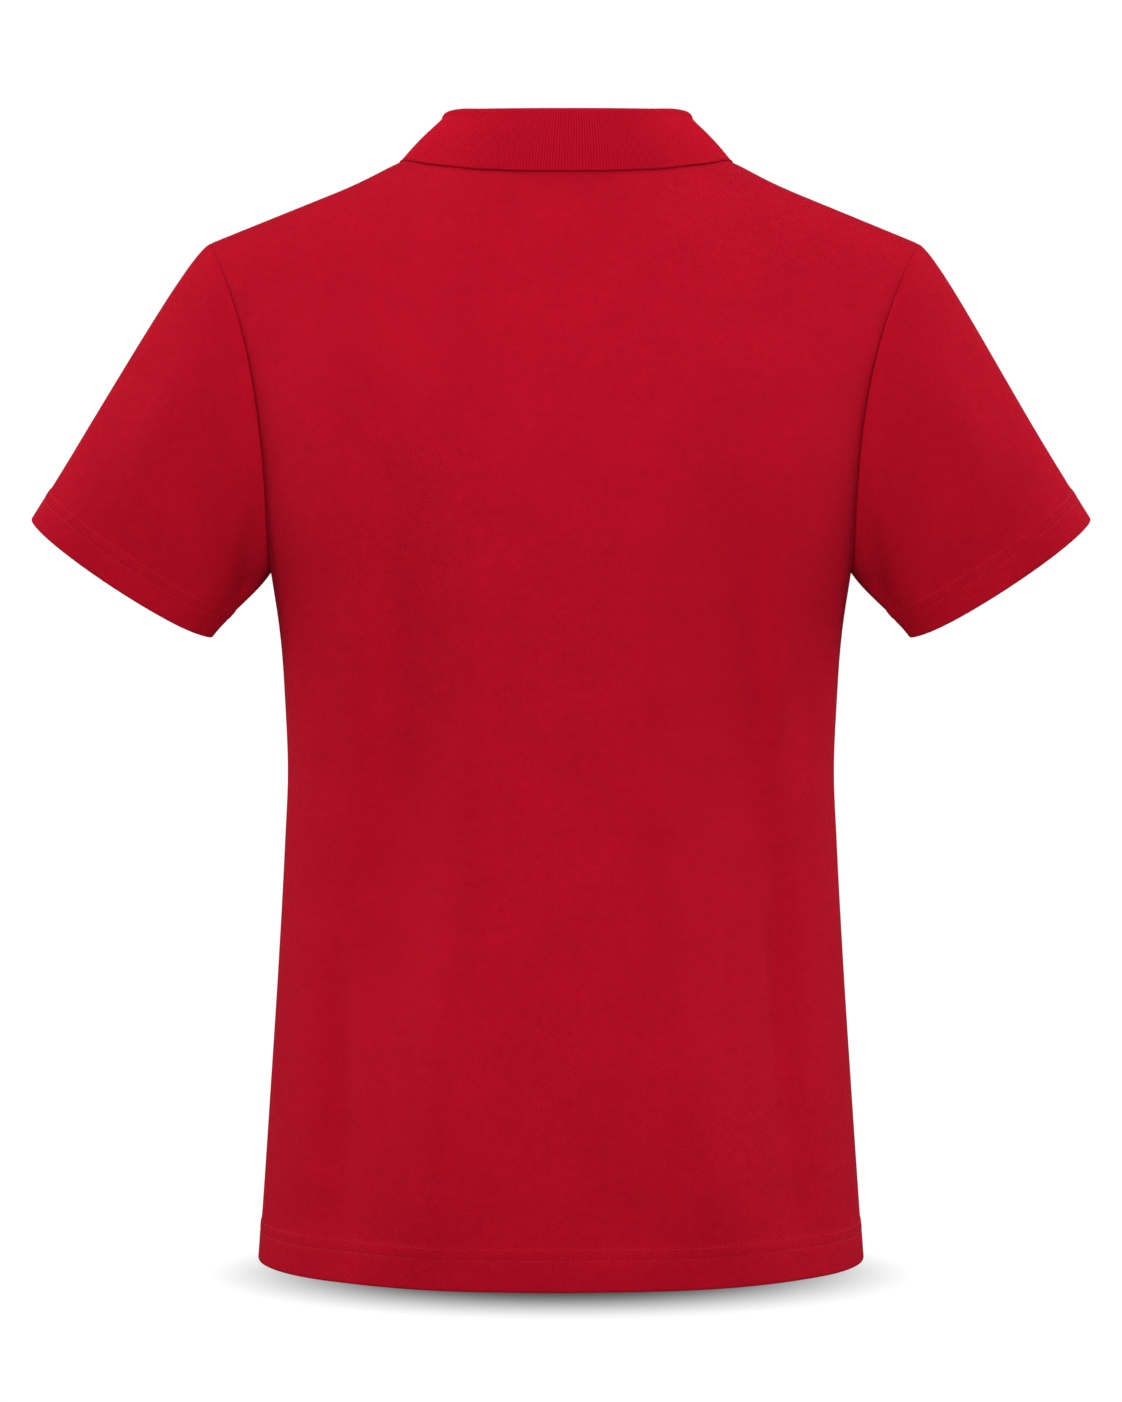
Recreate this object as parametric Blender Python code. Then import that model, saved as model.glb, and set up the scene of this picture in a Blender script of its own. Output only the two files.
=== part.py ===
"""A short-sleeved pique polo shirt in its worn shape, with nobody in it.

Metres. +X is the wearer's left, +Y the back, +Z up. The origin is the middle of the neck opening,
level with the side neck points, where the wearer's shoulders hold the shirt.

The cloth is cut and sewn from these pieces: back panel, front panel with a slit for the placket,
two sleeves, a flat knitted collar, the two strips of the placket and three buttons.
Each panel is a grid of points on its outer face. A wall of cloth is then built on that grid.
"""

import math

import bmesh
import bpy
import numpy as np
from mathutils import Vector
from mathutils.bvhtree import BVHTree

BACK, FRONT = 1, -1  # the sign of y on each half of the shirt

# Cloth
PIQUE = 0.0015  # one layer of the body cloth
HEM_PROUD = 0.0005  # a turned hem stands out this far
HEM_WALL = 0.0027  # from the cloth's face to the inside of a turned hem
RIB = 0.0020  # the flat knitted collar
SEAM_GAP = 0.0003  # between pieces that are sewn together
SHARPEST = 0.5  # where a wall turns at a seam or a corner, its offsets grow to no more than twice
LAID_GAP = 0.0007  # between a panel and what lies on it, so that their facets stay clear

# Body
HEM_HEIGHT = -0.7025  # at the side seams
HEM_DIP = 0.0060  # the centre back and front hang this much lower
HEM_DIP_REACH = 0.2500  # how far up the dip fades out
HEM_DEPTH = 0.0255
UNDERARM_HEIGHT = -0.2690
SHOULDER_TIP = (0.2240, 0.0, -0.0600)
TORSO = (
    # height, half_width, back, front, squareness
    (-0.7025, 0.1914, 0.1285, 0.1230, 2.18),
    (-0.6670, 0.1889, 0.1300, 0.1236, 2.20),
    (-0.5910, 0.1838, 0.1285, 0.1225, 2.25),
    (-0.5150, 0.1790, 0.1180, 0.1180, 2.22),
    (-0.4400, 0.1750, 0.1110, 0.1135, 2.20),
    (-0.3950, 0.1732, 0.1100, 0.1130, 2.20),
    (-0.3500, 0.1750, 0.1125, 0.1165, 2.22),
    (-0.3120, 0.1778, 0.1168, 0.1210, 2.25),
    (-0.2690, 0.1842, 0.1228, 0.1245, 2.30),
)
CENTRE_BACK = (
    # height, depth
    (-0.2690, 0.1228),
    (-0.2050, 0.1245),
    (-0.1500, 0.1180),
    (-0.1000, 0.1030),
    (-0.0500, 0.0800),
    (-0.0160, 0.0545),
)
CENTRE_FRONT = (
    # height, depth
    (-0.2690, 0.1245),
    (-0.2150, 0.1262),
    (-0.1650, 0.1180),
    (-0.1200, 0.0975),
    (-0.0720, 0.0625),
)

# Armholes
ARMHOLE_BACK_DEPTH = 0.0530
ARMHOLE_FRONT_DEPTH = 0.0510
ARMHOLE_FLARE = 2.7  # how late the seam swings out to the shoulder tip
FRONT_SCOOP = 0.0120  # the front armhole is cut further in

# Shoulders
SHOULDER_ROUND = 0.026  # how far the cloth swells before it turns over to the shoulder seam
NECK_SLOPE = 0.0032  # the shoulder seam rises this much beside the neck
NECK_SLOPE_END = 0.40  # the share of the shoulder seam that rises

# Neck
NECK_HALF_WIDTH = 0.0720
NECK_SHARE = 6 / 14  # the share of a panel's half top edge that is neckline, the rest is shoulder seam
SIDE_NECK_HEIGHT = 0.0020
NECK_BACK_ROUND = 1.5
NECK_FRONT_ROUND = 1.15
LEAN = 0.0035  # the neck sits this far to the wearer's right of the hem
LEAN_START = -0.1800
LEAN_ROUND = 1.3

# Sleeves
CUFF_DEPTH = 0.0235
CUFF_MIDDLE = (0.2800, -0.0130, -0.2720)
CUFF_TILT = math.radians(33.5)  # of the cuff's long axis above level
CUFF_YAW = math.radians(11.0)  # the sleeve points this much forward
CUFF_HALF_LENGTH = 0.0685
CUFF_HALF_WIDTH = 0.0370
SLEEVE = (
    # angle from the top, how the cloth leaves the armhole: out, back, down; how long it arrives straight
    (0, 0.038, 0.000, 0.012, 0.320),
    (45, 0.045, 0.010, 0.035, 0.250),
    (90, 0.060, 0.020, 0.060, 0.170),
    (135, 0.055, 0.005, 0.040, 0.100),
    (180, 0.028, 0.000, 0.054, 0.057),
)

# Collar, from the centre back (0) over the side neck (0.5) to the centre front (1).
# The first row is the third one mirrored, which keeps the centre back smooth.
COLLAR_BEND = 0.0022  # radius of the fold at the middle of the wall
COLLAR_SEAT = 0.0006  # the stand starts this far above the neck seam
COLLAR_LIFT = 0.0022  # the leaf keeps this far off the shoulders
COLLAR_END = 0.0012  # each end stops this far from the centre front
COLLAR_END_FROM = 0.9  # the place from which that holds
COLLAR = (
    # place, fold x, y, z, edge x, y, z
    (-0.25, -0.0520, 0.0435, 0.0166, -0.0690, 0.0560, -0.0076),
    (0.00, 0.0000, 0.0585, 0.0150, 0.0000, 0.0745, -0.0100),
    (0.25, 0.0520, 0.0435, 0.0166, 0.0690, 0.0560, -0.0076),
    (0.375, 0.0688, 0.0235, 0.0190, 0.0915, 0.0326, -0.0048),
    (0.50, 0.0768, 0.0000, 0.0185, 0.1050, 0.0040, -0.0050),
    (0.75, 0.0560, -0.0430, -0.0085, 0.0900, -0.0560, -0.0540),
    (1.00, 0.0030, -0.0640, -0.0480, 0.0440, -0.0880, -0.1080),
)

# Placket and buttons
PLACKET_WIDTH = 0.0300
PLACKET_BOTTOM = -0.2250
PLACKET_WALL = 0.0016
SLIT_MARGIN = 0.0015  # the strips overlap the slit's edges by this
SLIT_FRONT, SLIT_INSIDE = -0.2300, -0.0300  # y, well clear of both faces of the front
BUTTON_RADIUS = 0.0056
BUTTON_THICK = 0.0024
BUTTON_RIM = 0.0014  # width
BUTTON_DISH = 0.0006  # depth
BUTTON_HOLE_RADIUS = 0.0008
BUTTON_HOLE_SPREAD = 0.0017
BUTTON_HEIGHTS = (-0.0930, -0.1450, -0.1970)

# How finely the cloth is divided
HALF_COLUMNS = 14
BODY_ROWS = 9
YOKE_ROWS = 12
YOKE_CLOSING = 1.4  # rows lie closer towards the shoulder seam
SLEEVE_ROWS = 6
STAND_ROWS = 3
FOLD_STEPS = 4
LEAF_ROWS = 4
PLACKET_ROWS = 10
PLACKET_COLUMNS = 4
SHARP_ANGLE = math.radians(40)

# Colours
RED = (0.418, 0.0052, 0.0176)
RIB_RED = (0.395, 0.0048, 0.0165)
BUTTON_RED = (0.330, 0.0045, 0.0150)


def smooth(table, at):
    """A table's other columns, on a cubic through its rows, at a value of its first column."""
    rows = np.array(table, float)
    keys, values = rows[:, 0], rows[:, 1:]
    slopes = np.gradient(values, keys, axis=0)
    i = int(np.clip(np.searchsorted(keys, at) - 1, 0, len(keys) - 2))
    span = keys[i + 1] - keys[i]
    t = (at - keys[i]) / span
    ends = (2 * t**3 - 3 * t**2 + 1) * values[i] + (3 * t**2 - 2 * t**3) * values[i + 1]
    return ends + span * ((t**3 - 2 * t**2 + t) * slopes[i] + (t**3 - t**2) * slopes[i + 1])


def unit(vectors):
    return vectors / np.linalg.norm(vectors, axis=-1, keepdims=True)


def leaned(point):
    """Where a point lies once the neck has swung a little to one side."""
    x, y, z = point
    return (x - LEAN * max(0, 1 - z / LEAN_START) ** LEAN_ROUND, y, z)


# ---- The body's outer face ----


def torso_point(side, height, turn):
    """A point below the underarm. turn runs from 0 at the centre line to a right angle at the side seam."""
    half_width, back, front, squareness = smooth(TORSO, height)
    power = 2 / squareness
    depth = back if side == BACK else front
    inward = abs(math.cos(turn))
    fade = max(0, 1 - (height - HEM_HEIGHT) / HEM_DIP_REACH) ** 2
    low = height - HEM_DIP * fade * inward
    return np.array((half_width * math.sin(turn) ** power, side * depth * inward**power, low))


def armhole_point(side, share):
    """The armhole seam, from the underarm (0) round the back or the front to the shoulder tip (1)."""
    turn = math.pi * share
    rise = (1 - math.cos(turn)) / 2
    depth = ARMHOLE_BACK_DEPTH if side == BACK else ARMHOLE_FRONT_DEPTH
    underarm_x = smooth(TORSO, UNDERARM_HEIGHT)[0]
    x = underarm_x + (SHOULDER_TIP[0] - underarm_x) * rise**ARMHOLE_FLARE
    if side == FRONT:
        x -= FRONT_SCOOP * math.sin(turn) ** 2
    z = UNDERARM_HEIGHT + rise * (SHOULDER_TIP[2] - UNDERARM_HEIGHT)
    return np.array((x, side * depth * math.sin(turn), z))


def centre_point(side, share):
    """The centre line, from underarm height (0) to the neckline (1), its rows level with the armhole's."""
    table = CENTRE_BACK if side == BACK else CENTRE_FRONT
    climb = share / 2 + (1 - math.cos(math.pi * share)) / 4
    height = UNDERARM_HEIGHT + climb * (table[-1][0] - UNDERARM_HEIGHT)
    return np.array((0.0, side * smooth(table, height)[0], height))


def neckline_point(side, turn):
    """The neck seam. turn runs from 0 at the centre line to a right angle at the side neck point."""
    height, depth = (CENTRE_BACK if side == BACK else CENTRE_FRONT)[-1]
    inward = abs(math.cos(turn))
    drop = inward ** (NECK_BACK_ROUND if side == BACK else NECK_FRONT_ROUND)
    z = SIDE_NECK_HEIGHT + drop * (height - SIDE_NECK_HEIGHT)
    return np.array((NECK_HALF_WIDTH * math.sin(turn), side * depth * inward, z))


def top_point(side, share):
    """A panel's top edge: the neckline, then the shoulder seam."""
    if share <= NECK_SHARE:
        return neckline_point(side, share / NECK_SHARE * math.pi / 2)
    along = (share - NECK_SHARE) / (1 - NECK_SHARE)
    neck = neckline_point(side, math.pi / 2)
    rise = NECK_SLOPE * max(0, math.sin(math.pi * min(along / NECK_SLOPE_END, 1))) ** 1.5
    return neck + along * (np.array(SHOULDER_TIP) - neck) + np.array((0, 0, rise))


def yoke_shares():
    """How far up between the underarm and the shoulder each row of a panel lies."""
    return [1 - (1 - k / YOKE_ROWS) ** YOKE_CLOSING for k in range(YOKE_ROWS + 1)]


def swell(across, up):
    """How much further out the cloth lies where it turns over the shoulder."""
    beside_neck = min(across / NECK_SHARE, 1) ** 2
    return SHOULDER_ROUND * beside_neck * (1 - across**2) * up**4 * math.sqrt(1 - up**8)


def yoke_point(side, across, up):
    """A point above the underarm: a patch stretched between the centre line, the armhole and the two ends."""
    u, w = across**2, up**2
    below = torso_point(side, UNDERARM_HEIGHT, across * math.pi / 2)
    ruled = (1 - w) * below + w * top_point(side, across)
    ruled = ruled + (1 - u) * centre_point(side, up) + u * armhole_point(side, up)
    inner = (1 - w) * centre_point(side, 0) + w * centre_point(side, 1)
    outer = (1 - w) * armhole_point(side, 0) + w * armhole_point(side, 1)
    return ruled - (1 - u) * inner - u * outer + np.array((0, side * swell(across, up), 0))


def panel_grid(side):
    """A body panel's outer face: rows from hem to shoulder, columns from the wearer's right to the left."""
    hem_top = HEM_HEIGHT + HEM_DEPTH
    above_hem = hem_top + HEM_WALL / 2
    levels = [HEM_HEIGHT, hem_top, *np.linspace(above_hem, UNDERARM_HEIGHT, BODY_ROWS)]
    shares = [k / HALF_COLUMNS for k in range(HALF_COLUMNS + 1)]
    rows = [[torso_point(side, level, share * math.pi / 2) for share in shares] for level in levels]
    for up in yoke_shares()[1:]:
        rows.append([yoke_point(side, share, up) for share in shares])
    half = np.array(rows)
    mirrored = half[:, :0:-1] * (-1, 1, 1)
    return np.concatenate([mirrored, half], axis=1)


# ---- The sleeve's outer face ----


def cuff_point(turn):
    """The sleeve's edge, from its outer corner (0) by the back to the underarm (half a turn) and the front."""
    long_axis = np.array((math.cos(CUFF_TILT), 0, math.sin(CUFF_TILT)))
    out_of_sleeve = np.array((math.sin(CUFF_TILT), 0, -math.cos(CUFF_TILT)))
    across = math.cos(CUFF_YAW) * np.array((0, 1, 0)) + math.sin(CUFF_YAW) * out_of_sleeve
    round_ = CUFF_HALF_LENGTH * math.cos(turn) * long_axis + CUFF_HALF_WIDTH * math.sin(turn) * across
    return np.array(CUFF_MIDDLE) + round_


def sleeve_grid():
    """The left sleeve: rows from armhole to cuff, columns once round from the shoulder tip by the back."""
    forward = math.sin(CUFF_YAW)
    ups = yoke_shares()
    places = [(BACK, up) for up in ups[::-1]] + [(FRONT, up) for up in ups[1:-1]]
    columns = []
    for side, up in places:
        turn = math.pi * (1 - up)
        start = armhole_point(side, up)
        end = cuff_point(side * turn)
        out, back, down, arrive = smooth(SLEEVE, math.degrees(turn))
        leaving = np.array((out, side * back, -down))
        arriving = arrive * np.array((math.sin(CUFF_TILT), -forward, -math.cos(CUFF_TILT)))
        hem_share = 1 - CUFF_DEPTH / arrive
        step_share = hem_share - HEM_WALL / 2 / arrive
        shares = [*np.linspace(0, step_share, SLEEVE_ROWS), hem_share, 1.0]
        column = []
        for t in shares:
            ends = (2 * t**3 - 3 * t**2 + 1) * start + (3 * t**2 - 2 * t**3) * end
            column.append(ends + (t**3 - 2 * t**2 + t) * leaving + (t**3 - t**2) * arriving)
        columns.append(column)
    return np.array(columns).transpose(1, 0, 2)


# ---- Walls ----


def grid_normals(points, ring):
    """Unit normals of a grid, to the left of its rows' direction. A ring's last column joins its first."""
    if ring:
        padded = np.concatenate([points[:, -1:], points, points[:, :1]], axis=1)
        along = np.gradient(padded, axis=1)[:, 1:-1]
    else:
        along = np.gradient(points, axis=1)
    return unit(np.cross(along, np.gradient(points, axis=0)))


def share_normals(pieces):
    """Where pieces meet, gives their walls one common normal. pieces holds [points, normals] pairs."""
    met = {}
    for points, normals in pieces:
        for index in np.ndindex(points.shape[:2]):
            met.setdefault(tuple(np.round(points[index], 6)), []).append((normals, index))
    for found in met.values():
        if len(found) > 1:
            different = np.unique([np.round(normals[index], 6) for normals, index in found], axis=0)
            common = unit(different.sum(axis=0))
            for normals, index in found:
                normals[index] = common


def border_loops(shape, ring):
    """The border of a grid, as closed loops of its indices."""
    rows, columns = shape
    if ring:
        return [[(row, column) for column in range(columns)] for row in (0, rows - 1)]
    loop = [(0, column) for column in range(columns)] + [(row, columns - 1) for row in range(1, rows)]
    loop += [(rows - 1, column) for column in range(columns - 2, -1, -1)]
    return [loop + [(row, 0) for row in range(rows - 2, 0, -1)]]


def draw_in_border(points, normals, ring):
    """Moves a piece's border in by half the gap that it keeps at a seam."""
    moved = points.copy()
    rows, columns = points.shape[:2]
    for loop in border_loops((rows, columns), ring):
        for before, here, after in zip(loop[-1:] + loop[:-1], loop, loop[1:] + loop[:1]):
            row, column = here
            inside_row = min(max(row, 1), rows - 2)
            inside_column = column if ring else min(max(column, 1), columns - 2)
            inside = points[inside_row, inside_column] - points[here]
            sides = []
            for edge in (points[here] - points[before], points[after] - points[here]):
                inwards = unit(np.cross(normals[here], edge))
                sides.append(inwards if inwards @ inside > 0 else -inwards)
            opening = max(1 + sides[0] @ sides[1], SHARPEST)
            moved[here] += SEAM_GAP / 2 * (sides[0] + sides[1]) / opening
    return moved


def wall_object(name, outer, inner, ring, material):
    """A closed wall between two grids of the same shape."""
    rows, columns = outer.shape[:2]
    mesh = bmesh.new()
    sides = [[[mesh.verts.new(leaned(point)) for point in row] for row in grid] for grid in (outer, inner)]
    last = columns if ring else columns - 1

    def quad(*corners, turned=False):
        """A quad is split from its first corner, so the mirrored half turns its corners to match."""
        mesh.faces.new(corners[1:] + corners[:1] if turned else corners)

    for row in range(rows - 1):
        for column in range(last):
            beside = (column + 1) % columns
            turned = not ring and column < last / 2
            for side in sides:
                low, high = side[row], side[row + 1]
                quad(low[column], low[beside], high[beside], high[column], turned=turned)
    face, lining = sides
    for row in (0, rows - 1):
        for column in range(last):
            beside = (column + 1) % columns
            quad(face[row][column], lining[row][column], lining[row][beside], face[row][beside])
    for column in () if ring else (0, columns - 1):
        for row in range(rows - 1):
            quad(face[row][column], lining[row][column], lining[row + 1][column], face[row + 1][column])
    return finish_object(name, mesh, material)


def finish_object(name, mesh, material):
    bmesh.ops.recalc_face_normals(mesh, faces=mesh.faces)
    if mesh.calc_volume(signed=True) < 0:
        bmesh.ops.reverse_faces(mesh, faces=mesh.faces)
    data = bpy.data.meshes.new(name)
    mesh.to_mesh(data)
    mesh.free()
    data.shade_smooth()
    data.set_sharp_from_angle(angle=SHARP_ANGLE)
    data.materials.append(material)
    thing = bpy.data.objects.new(name, data)
    bpy.context.scene.collection.objects.link(thing)
    return thing


def cloth_object(name, points, normals, own_normals, hem_rows, ring, material):
    """A panel or sleeve: one layer of cloth, with its hem rows turned in to two."""
    face = draw_in_border(points, own_normals, ring)
    slant = np.clip((normals * own_normals).sum(axis=-1, keepdims=True), SHARPEST, 1)
    is_hem = np.zeros((len(points), 1, 1))
    is_hem[list(hem_rows)] = 1
    outer = face + normals * is_hem * HEM_PROUD
    inner = face - normals / slant * (PIQUE + is_hem * (HEM_WALL - PIQUE))
    return wall_object(name, outer, inner, ring, material)


def material_of(name, colour, roughness):
    material = bpy.data.materials.new(name)
    material.use_nodes = True
    shader = material.node_tree.nodes["Principled BSDF"]
    shader.inputs["Base Color"].default_value = (*colour, 1)
    shader.inputs["Roughness"].default_value = roughness
    shader.inputs["Metallic"].default_value = 0.0
    return material


# ---- What lies on the body ----


def surface_tree(grids):
    """The outer faces of some grids, to be asked for the nearest point or hit by a line."""
    points, quads = [], []
    for grid in grids:
        rows, columns = grid.shape[:2]
        first = len(points)
        points += [Vector(point) for point in grid.reshape(-1, 3)]
        for row in range(rows - 1):
            for column in range(columns - 1):
                corner = first + row * columns + column
                quads.append((corner, corner + 1, corner + columns + 1, corner + columns))
    return BVHTree.FromPolygons(points, quads)


def chest_point(tree, x, z):
    """The point and the outward normal of the front where a level line from in front meets it."""
    place, normal, _, _ = tree.ray_cast(Vector((x, -1, z)), Vector((0, 1, 0)))
    outward = np.array(normal) if normal.y < 0 else -np.array(normal)
    return np.array(place), outward


def placket_grid(tree, top_gap):
    """The front's own face under the placket's strips, from its bottom to the neckline."""
    columns = np.linspace(-PLACKET_WIDTH / 2, PLACKET_WIDTH / 2, PLACKET_COLUMNS + 1)
    places, normals = [], []
    for share in np.linspace(0, 1, PLACKET_ROWS + 1):
        row = []
        for x in columns:
            top = neckline_point(FRONT, math.asin(abs(x) / NECK_HALF_WIDTH))[2] - top_gap
            row.append(chest_point(tree, x, PLACKET_BOTTOM + share * (top - PLACKET_BOTTOM)))
        places.append([place for place, _ in row])
        normals.append([normal for _, normal in row])
    return np.array(places), np.array(normals)


def rested(tree, place, lift):
    """A point moved out so that it is at least lift off the surface."""
    near, normal, _, _ = tree.find_nearest(Vector(place))
    near, normal = np.array(near), np.array(normal)
    height = (np.array(place) - near) @ normal
    return np.array(place) if height > lift else near + normal * lift


def collar_grid(tree):
    """The collar's middle surface: rows from the neck seam over the fold to the edge, once round the neck."""
    stations = []
    for k in range(4 * int(NECK_SHARE * HALF_COLUMNS) + 1):
        place = abs(k / (2 * NECK_SHARE * HALF_COLUMNS) - 1)
        left = k >= 2 * NECK_SHARE * HALF_COLUMNS
        turn = place * math.pi
        side = BACK if turn <= math.pi / 2 else FRONT
        seam = neckline_point(side, turn if side == BACK else math.pi - turn)
        numbers = smooth(COLLAR, place)
        fold, edge = numbers[:3], numbers[3:]
        seam[0] = max(seam[0], COLLAR_END if place > COLLAR_END_FROM else 0)
        up = unit(fold - seam)
        out = edge - fold
        out = unit(out - (out @ up) * up)
        near, normal, _, _ = tree.find_nearest(Vector(edge))
        edge = np.array(near) + np.array(normal) * (RIB / 2 + COLLAR_LIFT)
        seam = seam + up * COLLAR_SEAT - out * PIQUE / 2
        inside, outside = fold - out * COLLAR_BEND, fold + out * COLLAR_BEND
        column = [seam + share * (inside - seam) for share in np.linspace(0, 1, STAND_ROWS + 1)]
        for step in range(1, FOLD_STEPS):
            bend = math.pi * step / FOLD_STEPS
            column.append(fold + COLLAR_BEND * (math.sin(bend) * up - math.cos(bend) * out))
        column.append(outside)
        for share in np.linspace(0, 1, LEAF_ROWS + 1)[1:]:
            column.append(rested(tree, outside + share * (edge - outside), RIB / 2 + COLLAR_LIFT))
        column = np.array(column)
        stations.append(column if left else column * (-1, 1, 1))
    return np.array(stations).transpose(1, 0, 2)


def button_object(name, place, normal, material):
    """A round button with a raised rim and four holes, lying on the placket."""
    mesh = bmesh.new()
    bmesh.ops.create_cone(
        mesh, cap_ends=True, segments=24, radius1=BUTTON_RADIUS, radius2=BUTTON_RADIUS, depth=BUTTON_THICK
    )
    top = max(mesh.faces, key=lambda face: face.calc_center_median().z)
    bmesh.ops.inset_region(mesh, faces=[top], thickness=BUTTON_RIM)
    bmesh.ops.translate(mesh, verts=top.verts, vec=(0, 0, -BUTTON_DISH))
    button = finish_object(name, mesh, material)
    for k in range(4):
        angle = math.radians(45 + 90 * k)
        hole = bmesh.new()
        bmesh.ops.create_cone(
            hole,
            cap_ends=True,
            segments=8,
            radius1=BUTTON_HOLE_RADIUS,
            radius2=BUTTON_HOLE_RADIUS,
            depth=3 * BUTTON_THICK,
        )
        spread = BUTTON_HOLE_SPREAD
        bmesh.ops.translate(hole, verts=hole.verts, vec=(spread * math.cos(angle), spread * math.sin(angle), 0))
        cut(button, finish_object(f"{name}_hole_{k + 1}", hole, material))
    button.rotation_mode = "QUATERNION"
    button.rotation_quaternion = Vector(normal).to_track_quat("Z", "Y")
    button.location = Vector(leaned(place)) + Vector(normal) * BUTTON_THICK / 2
    return button


def cut(thing, cutter):
    cutter.hide_render = True
    cutter.display_type = "WIRE"
    if cutter.name.startswith(thing.name):
        cutter.parent = thing
    boolean = thing.modifiers.new(cutter.name, "BOOLEAN")
    boolean.operation = "DIFFERENCE"
    boolean.object = cutter


def slit_cutter(material):
    """The box that opens the front for the placket."""
    mesh = bmesh.new()
    bmesh.ops.create_cube(mesh, size=1)
    width = PLACKET_WIDTH - 2 * SLIT_MARGIN
    bottom = PLACKET_BOTTOM + SLIT_MARGIN
    bmesh.ops.scale(mesh, verts=mesh.verts, vec=(width, SLIT_INSIDE - SLIT_FRONT, -bottom))
    middle = (0, (SLIT_INSIDE + SLIT_FRONT) / 2, bottom / 2)
    bmesh.ops.translate(mesh, verts=mesh.verts, vec=middle)
    for corner in mesh.verts:
        corner.co = leaned(corner.co)
    return finish_object("front_slit", mesh, material)


def build():
    for thing in list(bpy.data.objects):
        bpy.data.objects.remove(thing, do_unlink=True)
    pique = material_of("pique", RED, 0.85)
    rib = material_of("rib", RIB_RED, 0.88)
    plastic = material_of("button", BUTTON_RED, 0.35)

    back, front, left = panel_grid(BACK), panel_grid(FRONT), sleeve_grid()
    right = left * (-1, 1, 1)
    own = {
        "back_panel": [back, -grid_normals(back, False)],
        "front_panel": [front, grid_normals(front, False)],
        "sleeve_left": [left, -grid_normals(left, True)],
        "sleeve_right": [right, grid_normals(right, True)],
    }
    shared = {name: [points, normals.copy()] for name, (points, normals) in own.items()}
    share_normals([shared["back_panel"], shared["front_panel"]])
    share_normals(list(shared.values()))
    for name, (points, normals) in shared.items():
        ring = name.startswith("sleeve")
        hem_rows = range(len(points) - 2, len(points)) if ring else range(2)
        cloth_object(name, points, normals, own[name][1], hem_rows, ring, pique)
    cut(bpy.data.objects["front_panel"], slit_cutter(pique))

    chest = surface_tree([front])
    faces, normals = placket_grid(chest, SEAM_GAP)
    on_top = faces + normals * LAID_GAP
    behind = faces - normals * (PIQUE + LAID_GAP)
    wall_object("placket_top", on_top + normals * PLACKET_WALL, on_top, False, pique)
    wall_object("placket_under", behind, behind - normals * PLACKET_WALL, False, pique)
    for number, height in enumerate(BUTTON_HEIGHTS, start=1):
        place, normal = chest_point(chest, 0, height)
        seat = place + normal * (LAID_GAP + PLACKET_WALL + SEAM_GAP)
        button_object(f"button_{number}", seat, normal, plastic)

    placket_face = on_top + normals * PLACKET_WALL
    upper_back = back[BODY_ROWS + 1 :, ::-1]
    upper_front = front[BODY_ROWS + 1 :]
    collar = collar_grid(surface_tree([upper_back, upper_front, placket_face]))
    along = grid_normals(collar, False)
    wall_object("collar", collar + along * RIB / 2, collar - along * RIB / 2, False, rib)


build()
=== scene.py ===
# %% [markdown]
# # A short-sleeved polo shirt
# The shirt stands in its worn shape with nobody in it, on a white floor. Its solids come packed,
# as a fixed frame: two body panels, two sleeves, a collar, two placket strips and three buttons.
# Here each of them gets a finer piece on the same form, and the stitches are added. Loading the
# frame comes first, because all places and sizes are read from it or agree with it.

# %% Load the frame
import math

import bmesh
import bpy
import numpy as np
from mathutils import Matrix, Vector
from mathutils.bvhtree import BVHTree


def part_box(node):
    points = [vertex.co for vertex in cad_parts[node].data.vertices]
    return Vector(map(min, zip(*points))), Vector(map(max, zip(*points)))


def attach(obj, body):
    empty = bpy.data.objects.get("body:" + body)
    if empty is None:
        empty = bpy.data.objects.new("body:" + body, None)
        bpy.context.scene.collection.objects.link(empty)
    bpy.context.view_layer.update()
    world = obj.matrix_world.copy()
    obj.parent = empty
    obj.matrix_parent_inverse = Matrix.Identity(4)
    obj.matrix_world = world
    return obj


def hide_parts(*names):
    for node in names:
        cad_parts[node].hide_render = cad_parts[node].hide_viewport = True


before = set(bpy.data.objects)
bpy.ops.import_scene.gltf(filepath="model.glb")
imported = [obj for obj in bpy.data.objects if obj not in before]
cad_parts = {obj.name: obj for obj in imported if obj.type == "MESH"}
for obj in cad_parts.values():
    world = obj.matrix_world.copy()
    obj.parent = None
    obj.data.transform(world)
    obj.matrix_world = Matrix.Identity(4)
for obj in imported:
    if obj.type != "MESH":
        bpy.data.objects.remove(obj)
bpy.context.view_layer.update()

# %% [markdown]
# ## The camera
# A garment is shown from far away with a long lens, so that the hem and the collar are both seen
# nearly level. The camera stands behind the shirt, because its back is the side that is shown.

# %% Set the camera
EYE_HEIGHT = -0.3505
EYE_DISTANCE = 2.70
LENS_MM = 109.2

bpy.ops.object.camera_add(location=(0, EYE_DISTANCE, EYE_HEIGHT), rotation=(math.pi / 2, 0, math.pi))
camera = bpy.context.object
camera.name = "camera"
camera.data.lens = LENS_MM
bpy.context.scene.camera = camera
print("camera at", tuple(round(n, 3) for n in camera.location))

# %% [markdown]
# ## Writing a finish as a sum
# A finish is a small calculation for each spot of a surface: how red, how rough, how high. Blender
# wires that up with nodes. This class lets the sums be written as plain Python: every operator on a
# Wire adds the Math node that does it, and node() adds any other node.

# %% A socket that can be used in a sum
def math_node(operation):
    """A method of Wire that adds this Math node, with the Wire itself as its first number."""
    return lambda wire, *others: wire.sum(operation, wire, *others)


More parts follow.
